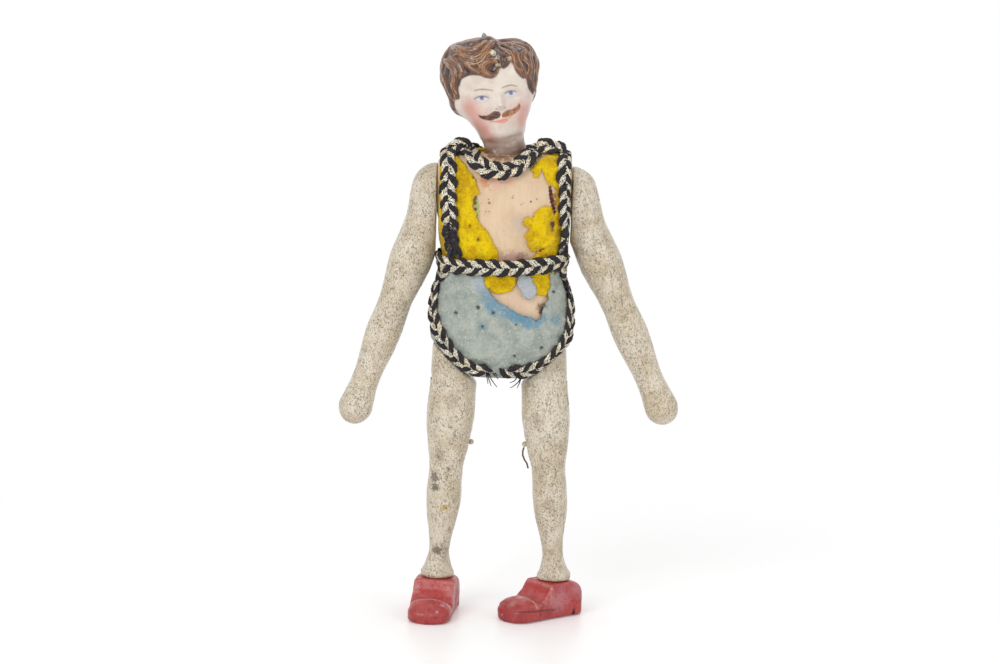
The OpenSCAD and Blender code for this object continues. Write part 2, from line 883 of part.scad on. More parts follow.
waist_line = [for (n = [-8 : 8]) [n * waist_w / 12, waist_z]];
module waist_braid() {
    braid(low_braid_in, 5, 7)
        both_faces()
            strip(waist_line, braid_w);
}

// The neck braid ends where it meets the armhole braids
neck_line = [
    for (a = [180 : 15 : 360])
        [(neck_r + 6.2) * cos(a), (neck_r + 4.2) * sin(a)]
];
module neck_braid() {
    braid(high_braid_in, 8.5, torso_last)
        both_faces()
            difference() {
                intersection() {
                    translate([0, 0, torso_top_z])
                        rotate([-40, 0, 0])
                            strip(neck_line, braid_w);
                    translate([-far / 2, 0.1 - far, 0])
                        cube([far, far, 2 * far]);
                }
                for (side = [0, 1])
                    mirror([side, 0, 0])
                        strip(armhole_line, braid_w + 2 * glue_gap);
            }
}

// The leg braids' middle lines, as seen from this much round to the side
leg_braid_turn = 35;
leg_line = [
    [hips_w / 2 - 9.6, waist_z - braid_w - 0.6], [hips_w / 2 - 9.2, hips_z + 4],
    [hips_w / 2 - 9, hips_z - 2], [hips_w / 2 - 9.2, hips_z - 7],
    [hips_w / 2 - 10.6, hip_z + 7], [hip_x - 6.2, hip_z + 3.6],
    [hip_x - 10.4, hip_z + 0.2], [hip_x - 14.4, hip_z - 1.6],
    [hip_x - 17, hip_z - 2.2]
];
module leg_braid(side) {
    braid(low_braid_in, 0.25, 6)
        mirror([1 - side, 0, 0])
            both_faces()
                rotate([0, 0, leg_braid_turn])
                    strip(leg_line, braid_w);
}
module right_leg_braid() leg_braid(right);
module left_leg_braid() leg_braid(left);

// A knot that lies on the left armhole braid, this far round the torso's section
armhole_knot_r = 1.5;
armhole_knot_v = 7.15;
armhole_knot_turn = 38;
module armhole_thread_knot() {
    p = along(torso_keys, armhole_knot_v) + [0, 1, 1] * (high_braid_in + braid_t);
    c = cos(armhole_knot_turn);
    s = sin(armhole_knot_turn);
    n = [pow(c, 2 - 2 / torso_square) / p[1], -pow(s, 2 - 2 / torso_square) / p[2]];
    at = [p[1] * pow(c, 2 / torso_square), -p[2] * pow(s, 2 / torso_square)]
        + n / norm(n) * (armhole_knot_r + run_gap);
    color([0.1, 0.09, 0.1])
        centred()
            translate([at.x, at.y, p[0]])
                sphere(r = armhole_knot_r);
}

torso();
head();
crown_pin();
neck_cord_upper();
neck_cord_middle();
neck_cord_lower();
right_arm();
left_arm();
right_arm_plug();
left_arm_plug();
shoulder_cord();
right_leg();
left_leg();
right_leg_plug();
left_leg_plug();
hip_cord();
right_shoe();
left_shoe();
right_sole_plug();
left_sole_plug();
right_ankle_cord();
left_ankle_cord();
vest_front();
vest_back();
trunks_front();
trunks_back();
neck_braid();
waist_braid();
right_armhole_braid();
left_armhole_braid();
right_leg_braid();
left_leg_braid();
armhole_thread_knot();
knee_thread();
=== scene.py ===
import json
import math

import bpy
import numpy as np
from mathutils import Matrix, Vector
from mathutils.bvhtree import BVHTree


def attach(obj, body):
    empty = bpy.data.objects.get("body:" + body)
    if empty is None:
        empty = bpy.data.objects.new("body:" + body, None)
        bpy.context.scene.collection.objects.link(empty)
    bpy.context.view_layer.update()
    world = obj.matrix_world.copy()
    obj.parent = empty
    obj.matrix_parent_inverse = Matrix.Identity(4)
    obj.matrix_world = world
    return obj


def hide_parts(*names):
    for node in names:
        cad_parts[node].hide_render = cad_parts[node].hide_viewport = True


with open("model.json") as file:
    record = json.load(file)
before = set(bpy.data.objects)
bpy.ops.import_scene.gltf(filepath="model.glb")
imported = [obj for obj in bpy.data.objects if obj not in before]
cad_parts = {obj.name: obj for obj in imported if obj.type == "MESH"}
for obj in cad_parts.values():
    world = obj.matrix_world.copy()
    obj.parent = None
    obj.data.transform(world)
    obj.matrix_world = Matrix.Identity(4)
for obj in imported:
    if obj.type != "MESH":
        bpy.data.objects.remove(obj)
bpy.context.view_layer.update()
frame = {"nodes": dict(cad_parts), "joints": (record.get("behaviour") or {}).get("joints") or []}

MM = 0.001
joint_at = {j["name"]: np.array(j["pos_m"]) / MM for j in frame["joints"]}

# Axes of the figure, in millimetres
shoulder_mid = (joint_at["right_shoulder"] + joint_at["left_shoulder"]) / 2
MID_X, MID_Y, SHOULDER_Z = shoulder_mid
SHOULDER_X = joint_at["left_shoulder"][0] - MID_X
HIP_X = joint_at["left_hip"][0] - MID_X
HIP_Z = joint_at["left_hip"][2]
NECK_SEAT = joint_at["neck_nod"]
TORSO_TOP = NECK_SEAT[2] - 0.6

# Camera: the photograph's own frame and viewing angle
PHOTO_W, PHOTO_H = 1000, 664
CENTRE_X, CENTRE_Y = 500.2, 331.2
AIM = np.array([MID_X, MID_Y, 100.0])
DISTANCE = 889.0
ELEVATION = math.radians(7.96)
ROLL = math.radians(1.76)
PX_PER_MM = 2.87
SENSOR = 36.0

AHEAD = np.array([0, math.cos(ELEVATION), -math.sin(ELEVATION)])
UPWARD = np.array([0, math.sin(ELEVATION), math.cos(ELEVATION)])
ACROSS = np.array([1.0, 0, 0])
EYE = AIM - DISTANCE * AHEAD


def put_in_scene(name, data):
    """An object with this data, linked into the scene."""
    obj = bpy.data.objects.new(name, data)
    bpy.context.scene.collection.objects.link(obj)
    return obj


def make_camera():
    """The photograph's camera, with its roll and its small shift."""
    data = bpy.data.cameras.new("photo_camera")
    data.sensor_width = SENSOR
    data.lens = PX_PER_MM * DISTANCE * SENSOR / PHOTO_W
    data.shift_x = (PHOTO_W / 2 - CENTRE_X) / PHOTO_W
    data.shift_y = (CENTRE_Y - PHOTO_H / 2) / PHOTO_W
    data.clip_start, data.clip_end = 0.05, 10
    camera = put_in_scene("photo_camera", data)
    side = ACROSS * math.cos(ROLL) + UPWARD * math.sin(ROLL)
    top = UPWARD * math.cos(ROLL) - ACROSS * math.sin(ROLL)
    turn = Matrix((side, top, -AHEAD)).transposed().to_4x4()
    camera.matrix_world = Matrix.Translation(Vector(EYE * MM)) @ turn
    bpy.context.scene.camera = camera


make_camera()


def ray_of(px, py):
    """Direction of the ray through a pixel of the photograph."""
    dx, dy = px - CENTRE_X, CENTRE_Y - py
    x = dx * math.cos(ROLL) - dy * math.sin(ROLL)
    y = dx * math.sin(ROLL) + dy * math.cos(ROLL)
    d = PX_PER_MM * DISTANCE * AHEAD + x * ACROSS + y * UPWARD
    return d / np.linalg.norm(d)


def ray_point(px, py, y):
    """Where the ray through a pixel passes the upright plane at the depth y."""
    d = ray_of(px, py)
    return EYE + d * ((y - EYE[1]) / d[1])


def ray_hit(tree, px, py):
    """Where the ray through a pixel meets a surface, or the surface's place nearest to it."""
    at = tree.ray_cast(Vector(EYE), Vector(ray_of(px, py)))[0]
    if at is None:
        at = tree.find_nearest(Vector(ray_point(px, py, MID_Y)))[0]
    return at


# Small tools

def smooth(x, low, high):
    """Rises from 0 at low to 1 at high."""
    t = np.clip((np.asarray(x, float) - low) / (high - low), 0, 1)
    return t * t * (3 - 2 * t)


def along(keys, v):
    """Catmull-Rom curve through rows of keys, met at whole values of v."""
    keys = np.asarray(keys, float)
    v = np.asarray(v, float)
    i = np.clip(np.floor(v).astype(int), 0, len(keys) - 2)
    u = (v - i)[..., None]

    def key(k):
        return keys[np.clip(k, 0, len(keys) - 1)]

    return (
        ((2 - u) * u - 1) * u / 2 * key(i - 1)
        + ((3 * u - 5) * u * u + 2) / 2 * key(i)
        + ((4 - 3 * u) * u + 1) * u / 2 * key(i + 1)
        + (u - 1) * u * u / 2 * key(i + 2)
    )


def lattice(p, seed):
    """Smooth noise from -1 to 1 at points p, with one cell a unit wide."""
    p = np.asarray(p, float)
    base = np.floor(p).astype(np.int64)
    f = p - base
    f = f * f * (3 - 2 * f)
    total = np.zeros(p.shape[:-1])
    for corner in np.ndindex(*(2,) * p.shape[-1]):
        c = base + np.array(corner)
        h = seed * 374761393
        for k, prime in zip(range(p.shape[-1]), (668265263, 2147483647, 1274126177)):
            h = h + c[..., k] * prime
        h = (h ^ (h >> 13)) * 1103515245
        value = ((h ^ (h >> 16)) & 0xFFFF) / 32767.5 - 1
        weight = np.prod([f[..., k] if b else 1 - f[..., k] for k, b in enumerate(corner)], axis=0)
        total = total + value * weight
    return total


def rough(p, size, seed, octaves=3):
    """Layered noise whose largest lumps are size millimetres."""
    p = np.asarray(p, float) / size
    return sum(lattice(p * 2**k, seed + k) / 2**k for k in range(octaves))


def to_line(p, line):
    """Distance from points p to a polyline, and how far along it the nearest point lies."""
    p = np.asarray(p, float)
    best = np.full(p.shape[:-1], 1e9)
    where = np.zeros(p.shape[:-1])
    run = 0.0
    for a, b in zip(np.asarray(line[:-1], float), np.asarray(line[1:], float)):
        d = b - a
        length = np.linalg.norm(d)
        t = np.clip(((p - a) @ d) / length**2, 0, 1)
        gap = np.linalg.norm(p - a - t[..., None] * d, axis=-1)
        near = gap < best
        best = np.where(near, gap, best)
        where = np.where(near, run + t * length, where)
        run += length
    return best, where


def to_outline(p, outline):
    """Signed distance from 2-D points to a closed outline, negative inside."""
    gap, _ = to_line(p, list(outline) + [outline[0]])
    inside = np.zeros(gap.shape, bool)
    x, y = p[..., 0], p[..., 1]
    for (ax, ay), (bx, by) in zip(outline, list(outline[1:]) + [outline[0]]):
        crosses = (ay > y) != (by > y)
        with np.errstate(divide="ignore", invalid="ignore"):
            at = (bx - ax) * (y - ay) / (by - ay) + ax
        inside ^= crosses & (x < at)
    return np.where(inside, -gap, gap)


def summed(steps):
    """The steps' running total, from 0."""
    return np.concatenate([[0], np.cumsum(steps)])


def run_along(points):
    """How far along a row of points each one lies."""
    return summed(np.linalg.norm(np.diff(points, axis=0), axis=1))


def read_off(s, run, rows):
    """Rows of numbers, given at each run, read off at the runs s."""
    return np.stack([np.interp(s, run, rows[:, k]) for k in range(rows.shape[1])], axis=-1)


def evened(rows, count):
    """Rows of numbers, each averaged with its neighbours, and the ends held."""
    padded = np.pad(rows, ((count // 2, count // 2), (0, 0)), mode="edge")
    kernel = np.ones(count) / count
    return np.stack([np.convolve(padded[:, k], kernel, "valid") for k in range(rows.shape[1])], axis=1)


def resample(points, step):
    """Points a step apart along a smooth curve through the given ones."""
    points = np.asarray(points, float)
    fine = along(points, np.linspace(0, len(points) - 1, 24 * len(points)))
    run = run_along(fine)
    count = max(2, int(round(run[-1] / step)) + 1)
    return read_off(np.linspace(0, run[-1], count), run, fine)


def unit(a):
    """Vectors brought to length 1."""
    a = np.asarray(a, float)
    return a / np.maximum(np.linalg.norm(a, axis=-1, keepdims=True), 1e-9)


def tree_of(points, faces):
    """A surface that rays and nearest places can be asked of."""
    points = np.asarray(points).reshape(-1, 3)
    return BVHTree.FromPolygons(points.tolist(), [tuple(map(int, f)) for f in faces])


def grid_faces(rows, columns, closed=False):
    """Quads of a grid of vertices, with the last column joined to the first where closed."""
    r, c = np.meshgrid(np.arange(rows - 1), np.arange(columns - (not closed)), indexing="ij")
    a = r * columns + c
    b = r * columns + (c + 1) % columns
    return np.stack([a, b, b + columns, a + columns], axis=-1).reshape(-1, 4)


def put_marks(mesh, marks):
    """Keeps named numbers on a mesh's vertices."""
    for key, values in marks.items():
        layer = mesh.attributes.new(key, "FLOAT", "POINT")
        layer.data.foreach_set("value", np.asarray(values, np.float32).ravel())


def add_mesh(name, points, faces, body, replaced, marks, material):
    """A piece from points in millimetres, riding on a body, with named numbers on its vertices."""
    mesh = bpy.data.meshes.new(name)
    mesh.from_pydata((np.asarray(points, float) * MM).tolist(), [], [list(map(int, f)) for f in faces])
    mesh.validate()
    mesh.update()
    mesh.shade_smooth()
    put_marks(mesh, marks)
    mesh.materials.append(material)
    obj = put_in_scene(name, mesh)
    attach(obj, body)
    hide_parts(*replaced)
    return obj


# The torso's surface, as rows v of rings with q running round from the front's middle

CHEST_D, WAIST_D, HIPS_D = 29, 26, 28
WAIST_W, HIPS_W = 37.8, 45.2
HIP_SLOPE = math.radians(42)
HIPS_Z, WAIST_Z, CROTCH_Z = HIP_Z + 17, HIP_Z + 31.8, HIP_Z - 3
SHOULDER_TOP = TORSO_TOP - SHOULDER_Z
ARM_FACE_Z = SHOULDER_Z - 21
TORSO_SQUARE = 2.5
TORSO_KEYS = [
    [CROTCH_Z, HIP_X - 5, 3.5],
    [CROTCH_Z + 0.9, HIP_X - 2, HIPS_D / 2 - 6],
    [CROTCH_Z + 4, HIPS_W / 2 - 4, HIPS_D / 2 - 2.8],
    [(CROTCH_Z + HIPS_Z) / 2, HIPS_W / 2 - 0.8, HIPS_D / 2 - 0.6],
    [HIPS_Z, HIPS_W / 2, HIPS_D / 2],
    [(HIPS_Z + WAIST_Z) / 2, (HIPS_W + WAIST_W) / 4 + 0.2, (HIPS_D + WAIST_D) / 4 + 0.1],
    [WAIST_Z, WAIST_W / 2, WAIST_D / 2],
    [WAIST_Z + (SHOULDER_Z - WAIST_Z) * 0.45, SHOULDER_X - 1.6, CHEST_D / 2 - 0.5],
    [SHOULDER_Z, SHOULDER_X + 1.6, CHEST_D / 2],
    [SHOULDER_Z + SHOULDER_TOP * 0.62, SHOULDER_X + 0.8, CHEST_D / 2 - 1.2],
    [TORSO_TOP - 1.4, SHOULDER_X - 1.6, CHEST_D / 2 - 3],
    [TORSO_TOP, SHOULDER_X - 5.5, CHEST_D / 2 - 6],
]
ROWS_PER_KEY, RING = 30, 480
CAP_ROWS, CAP_RISE = 12, 0.25


def squared(share, power):
    """A cosine or sine, drawn out from a circle's towards a square's."""
    return np.sign(share) * np.abs(share) ** (2 / power)


def ring_section(w, d, square, count):
    """Points evenly spaced round a section, from its back middle round past -X to the front."""
    t = np.radians(-270 + 360 * np.arange(4 * count + 1) / (4 * count))
    x, y = w * squared(np.cos(t), square), d * squared(np.sin(t), square)
    run = summed(np.hypot(np.diff(x), np.diff(y)))
    s = np.linspace(0, run[-1], count + 1)
    return np.interp(s, run, x), np.interp(s, run, y), run[-1]


def torso_table():
    """Rings of points up the torso and over its top, and half of each ring's girth."""
    last = len(TORSO_KEYS) - 1
    body = along(TORSO_KEYS, np.linspace(0, last, last * ROWS_PER_KEY + 1))
    top = body[-1]
    cap = [[top[0] + CAP_RISE * (1 - f * f), top[1] * f, top[2] * f]
           for f in np.linspace(0.93, 0.02, CAP_ROWS)]
    table, half = [], []
    for z, w, d in list(body) + cap:
        x, y, total = ring_section(w, d, TORSO_SQUARE, RING)
        table.append(np.stack([x + MID_X, y + MID_Y, np.full_like(x, z)], axis=1))
        half.append(total / 2)
    return np.array(table), np.array(half)


TORSO, HALF_GIRTH = torso_table()
d_row = np.gradient(TORSO, axis=0)
d_ring = np.concatenate([TORSO[:, 1:2] - TORSO[:, -2:-1], TORSO[:, 2:] - TORSO[:, :-2],
                         TORSO[:, 1:2] - TORSO[:, -2:-1]], axis=1)
TORSO_OUT = unit(np.cross(d_ring, d_row))
ROW_Z = TORSO[:, 0, 2]
WALL_ROWS = (len(TORSO_KEYS) - 1) * ROWS_PER_KEY


def look_up(table, row, column):
    """Values of a table at fractional rows and columns."""
    row = np.clip(row, 0, table.shape[0] - 1.001)
    column = np.clip(column, 0, table.shape[1] - 1.001)
    r, c = row.astype(int), column.astype(int)
    fr, fc = (row - r)[..., None], (column - c)[..., None]
    low = table[r, c] * (1 - fc) + table[r, c + 1] * fc
    high = table[r + 1, c] * (1 - fc) + table[r + 1, c + 1] * fc
    return low * (1 - fr) + high * fr


ROW_RUN = summed(np.linalg.norm(np.diff(TORSO, axis=0), axis=2).mean(axis=1))
ROWS = len(ROW_RUN)


def row_at(z):
    """The row of the torso's wall at a height."""
    return np.interp(z, ROW_Z[: WALL_ROWS + 1], np.arange(WALL_ROWS + 1))


def wrap(q, row, out):
    """Points that lie out from the torso, at q half turns from the front's middle."""
    column = (q + 1) / 2 * RING
    return look_up(TORSO, row, column) + look_up(TORSO_OUT, row, column) * np.asarray(out)[..., None]


def hip_face(x):
    """Height of the slanted hip face at a place x."""
    return HIP_Z + (np.abs(x - MID_X) - HIP_X) * math.tan(HIP_SLOPE)


SQUEEZE, FELT_GAP, BRAID_GAP, FAR_OUT = 0.9, 0.1, 0.06, 99


def keep_clear(p, gap):
    """Holds points clear of the flat shoulder faces and of the slanted hip faces."""
    p = np.array(p, float)
    beside = smooth(p[..., 2], ARM_FACE_Z - 4, ARM_FACE_Z - 1)
    edge = (SHOULDER_X - gap) * beside + FAR_OUT * (1 - beside)
    x = p[..., 0] - MID_X
    past = np.maximum(np.abs(x) - edge + SQUEEZE, 0)
    p[..., 0] = MID_X + np.sign(x) * np.minimum(np.abs(x), edge - SQUEEZE + past / (1 + past / SQUEEZE))
    p[..., 2] = np.maximum(p[..., 2], hip_face(p[..., 0]) + 1.5 * gap)
    return p


torso_faces = grid_faces(*TORSO.shape[:2])
torso_tree = tree_of(TORSO, torso_faces)
lifted_trees = {}


def nearest_cell(point):
    """Row and column of the torso's surface nearest to a point."""
    index = torso_tree.find_nearest(Vector(point))[2]
    return divmod(index, RING)


def torso_hit(px, py, lift):
    """Where the ray through a pixel meets a layer that lies lift out, put back on the torso."""
    if lift not in lifted_trees:
        lifted_trees[lift] = tree_of(TORSO + TORSO_OUT * lift, torso_faces)
    return np.array(torso_tree.find_nearest(ray_hit(lifted_trees[lift], px, py))[0])


def on_torso(pixels, lift):
    """A row of pixels on the torso."""
    return np.array([torso_hit(*p, lift) for p in pixels])


FELT_LIFT, TRUNKS_LIFT = 0.9, 1.9


def chart(px, py, lift=FELT_LIFT):
    """Girth from the front's middle and run up the torso at a pixel of the photograph."""
    row, column = nearest_cell(torso_hit(px, py, lift))
    return (2 * (column + 0.5) / RING - 1) * HALF_GIRTH[row], ROW_RUN[row]


def charted(pixels, lift=FELT_LIFT):
    """A row of pixels on the chart."""
    return np.array([chart(*p, lift) for p in pixels])


# Colours and node trees

def linear(*rgb):
    """A colour as seen, from 0 to 255, as the values that the shader wants."""
    seen = [c / 255 for c in rgb]
    return (*(c / 12.92 if c <= 0.04045 else ((c + 0.055) / 1.055) ** 2.4 for c in seen), 1.0)


class Paint:
    """One material's node tree, built from the back of the shader forwards."""

    def __init__(self, name, roughness=0.5, metallic=0.0, coat=0.0, sheen=0.0, specular=0.5):
        self.material = bpy.data.materials.new(name)
        self.material.use_nodes = True
        self.tree = self.material.node_tree
        self.shader = self.tree.nodes["Principled BSDF"]
        for key, value in (("Roughness", roughness), ("Metallic", metallic), ("Coat Weight", coat),
                           ("Coat Roughness", 0.12), ("Sheen Weight", sheen),
                           ("Specular IOR Level", specular)):
            self.shader.inputs[key].default_value = value
        self.place = self.node("ShaderNodeTexCoord").outputs["Object"]

    def node(self, kind, **settings):
        n = self.tree.nodes.new(kind)
        for key, value in settings.items():
            setattr(n, key, value)
        return n

    def put(self, value, socket):
        """Joins a node's output to a socket, or sets a plain value on it."""
        if isinstance(value, bpy.types.NodeSocket):
            self.tree.links.new(value, socket)
        else:
            socket.default_value = value

    def maths(self, how, a, b, clamp=False):
        n = self.node("ShaderNodeMath", operation=how, use_clamp=clamp)
        self.put(a, n.inputs[0])
        self.put(b, n.inputs[1])
        return n.outputs[0]

    def stretch(self, x, y, z, turn=(0, 0, 0)):
        """The object's coordinates in millimetres, scaled along each axis."""
        n = self.node("ShaderNodeMapping")
        self.put(self.place, n.inputs["Vector"])
        n.inputs["Rotation"].default_value = turn
        n.inputs["Scale"].default_value = (x / MM, y / MM, z / MM)
        return n.outputs["Vector"]

    def noise(self, size, detail=4.0, where=None, rough=0.6, warp=0.0):
        """Noise whose lumps are about size millimetres."""
        n = self.node("ShaderNodeTexNoise")
        self.put(where if where is not None else self.stretch(1, 1, 1), n.inputs["Vector"])
        n.inputs["Scale"].default_value = 1 / size
        n.inputs["Detail"].default_value = detail
        n.inputs["Roughness"].default_value = rough
        n.inputs["Distortion"].default_value = warp
        return n.outputs["Fac"]

    def between(self, value, low, high, to_low=0.0, to_high=1.0):
        """Maps a value smoothly from one range to another, and holds it at the ends."""
        n = self.node("ShaderNodeMapRange", interpolation_type="SMOOTHSTEP")
        for key, v in (("Value", value), ("From Min", low), ("From Max", high),
                       ("To Min", to_low), ("To Max", to_high)):
            self.put(v, n.inputs[key])
        return n.outputs[0]

    def mark(self, name):
        """A number kept on the mesh's vertices."""
        return self.node("ShaderNodeAttribute", attribute_name=name).outputs["Fac"]

    def near(self, at, radius, soft=0.5, wobble=None):
        """1 near a place given in millimetres, falling to 0 at the radius."""
        n = self.node("ShaderNodeVectorMath", operation="DISTANCE")
        self.put(self.stretch(1, 1, 1), n.inputs[0])
        n.inputs[1].default_value = at
        d = n.outputs["Value"]
        if wobble is not None:
            d = self.maths("ADD", d, wobble)
        return self.between(d, radius * (1 - soft), radius, 1.0, 0.0)

    def mix(self, factor, a, b):
        n = self.node("ShaderNodeMix", data_type="RGBA")
        self.put(factor, n.inputs[0])
        self.put(a, n.inputs[6])
        self.put(b, n.inputs[7])
        return n.outputs[2]

    def patches(self, size, detail, low, high, **how):
        """Noise cut into patches: 0 between them, and 1 on them."""
        return self.between(self.noise(size, detail, **how), low, high)

    def mottle(self, rgb, other, *patches, **how):
        """Two colours in patches."""
        return self.mix(self.patches(*patches, **how), linear(*rgb), linear(*other))

    def tint(self, colour, share, strength, rgb):
        """Lays a tint over a colour, by a share times a strength."""
        return self.mix(self.maths("MULTIPLY", share, strength), colour, linear(*rgb))

    def blots(self, colour, spots, lump, ragged, soft):
        """Lays blots with uneven edges, from rows of place, radius, tint and strength: stains, and on the
        chest painted shade as well.
        """
        for at, radius, rgb, strength in spots:
            uneven = self.maths("SUBTRACT", self.noise(lump, 4), 0.5)
            wobble = self.maths("MULTIPLY", uneven, radius * ragged)
            colour = self.tint(colour, self.near(at, radius, soft, wobble), strength, rgb)
        return colour

    def finish(self, colour, bump, depth, roughness=None):
        """Joins the colour, the bump, whose full depth is in millimetres, and the roughness."""
        self.put(colour, self.shader.inputs["Base Color"])
        if roughness is not None:
            self.put(roughness, self.shader.inputs["Roughness"])
        n = self.node("ShaderNodeBump")
        n.inputs["Strength"].default_value = 1.0
        n.inputs["Distance"].default_value = depth * MM
        self.put(bump, n.inputs["Height"])
        self.put(n.outputs["Normal"], self.shader.inputs["Normal"])
        return self.material


def limb_paint(name, shift, spots):
    """Cream paint over turned wood: brown specks, long grain, grime, pale specks painted as glints and a worn
    gloss.
    """
    p = Paint(name, roughness=0.42, coat=0.25)
    p.place = shifted(p, shift)
    colour = p.mottle((226, 214, 193), (206, 190, 162), 9, 4, 0.4, 0.64)
    grain = p.patches(1.2, 5, 0.5, 0.68, where=p.stretch(1, 1, 0.2), rough=0.7)
    colour = p.tint(colour, grain, 0.6, (172, 154, 124))
    chalk = p.patches(0.8, 4, 0.54, 0.66, rough=0.75)
    colour = p.tint(colour, chalk, 0.55, (232, 225, 210))
    stain = p.patches(4, 6, 0.54, 0.68, rough=0.7)
    colour = p.tint(colour, stain, 0.35, (166, 148, 116))
    pores = p.patches(0.5, 4, 0.55, 0.63, where=p.stretch(1, 1, 0.6), rough=0.75)
    crowding = p.between(p.noise(5, 5, rough=0.65), 0.38, 0.6, 0.25, 1.0)
    fleck = p.maths("MULTIPLY", pores, crowding)
    colour = p.tint(colour, fleck, 0.42, (124, 104, 76))
    dark = p.patches(0.8, 3, 0.69, 0.715, rough=0.5)
    colour = p.mix(dark, colour, linear(70, 56, 42))
    # Pale specks painted in as small glossy glints.
    glint_specks = p.patches(0.6, 3, 0.62, 0.68, rough=0.7)
    colour = p.tint(colour, glint_specks, 0.6, (242, 238, 228))
    colour = p.blots(colour, spots, lump=1.1, ragged=2.4, soft=0.6)
    height = p.maths("SUBTRACT", p.noise(2.2, 6, rough=0.7), p.maths("MULTIPLY", fleck, 0.6))
    gloss = p.between(p.noise(3, 4), 0.35, 0.7, 0.22, 0.5)
    return p.finish(colour, height, 0.55, gloss)


def shifted(paint, offset):
    """Moves a material's pattern, so that two like pieces don't wear the same one."""
    n = paint.node("ShaderNodeVectorMath", operation="ADD")
    paint.put(paint.place, n.inputs[0])
    n.inputs[1].default_value = [c * MM for c in offset]
    return n.outputs[0]


# Felt: thin sheets on the torso, cut by an outline and torn at its edges

VEST_IN, VEST_OUT = 0.1, 1.0
TRUNKS_IN, TRUNKS_OUT = 1.1, 2.0
HIGH_BRAID_IN, LOW_BRAID_IN = 1.1, 2.1
FELT_STEP, HALF_TURN = 0.4, 0.499
LUMPS, FINE_LUMPS = 0.3, 0.55
RAGGED, FINE_RAGGED = 0.42, 0.24
FELT_ROUND, FELT_FOOT, FELT_BODY = 0.7, 0.32, 0.62
PUFF_EDGE, VEST_SPARE = 0.5, 0.3
GIRTH_SCALE, ROW_SCALE = 62, 0.4
RIM_REACH, MOST_PULL = 0.25, 0.8
ARM_GAP, HIP_GAP = 0.35, 0.3
UNCUT = 9


def felt(name, node, material, rows, back, cut, depths, seed, holes=()):
    """A sheet over one half of the torso, kept where cut() is negative."""
    run = np.arange(ROW_RUN[rows[0]], ROW_RUN[rows[1]], FELT_STEP)
    row = np.interp(run, ROW_RUN, np.arange(ROWS))
    widest = HALF_GIRTH.max() / 2
    share = np.linspace(-HALF_TURN, HALF_TURN, int(2 * widest / FELT_STEP))
    q, row = np.meshgrid(share, row)
    run = np.interp(row, np.arange(ROWS), ROW_RUN)
    s = q * np.interp(row, np.arange(ROWS), HALF_GIRTH)
    turn = q + np.where(q > 0, -1, 1) if back else q
    flat = np.stack([s, run], axis=-1)
    ragged = flat + RAGGED * np.stack([rough(flat, 2.1, seed), rough(flat, 2.1, seed + 9)], axis=-1)
    ragged += FINE_RAGGED * np.stack([rough(flat, 0.8, seed + 3), rough(flat, 0.8, seed + 5)], axis=-1)
    middle = wrap(turn, row, np.full(q.shape, (depths[0] + depths[1]) / 2))
    gap = cut(ragged, middle)
    for hole, radius in holes:
        gap = np.maximum(gap, radius - np.linalg.norm(ragged - hole, axis=-1))
    x = np.abs(middle[..., 0] - MID_X)
    side = np.where(middle[..., 2] > ARM_FACE_Z - 1.5, x - SHOULDER_X + ARM_GAP, -UNCUT)
    foot = (hip_face(middle[..., 0]) - middle[..., 2]) * math.cos(HIP_SLOPE) + HIP_GAP
    limit = np.maximum(side, foot)
    gap = np.maximum(gap, limit)
    return shell(name, node, material, q, row, turn, gap, limit, depths, seed)


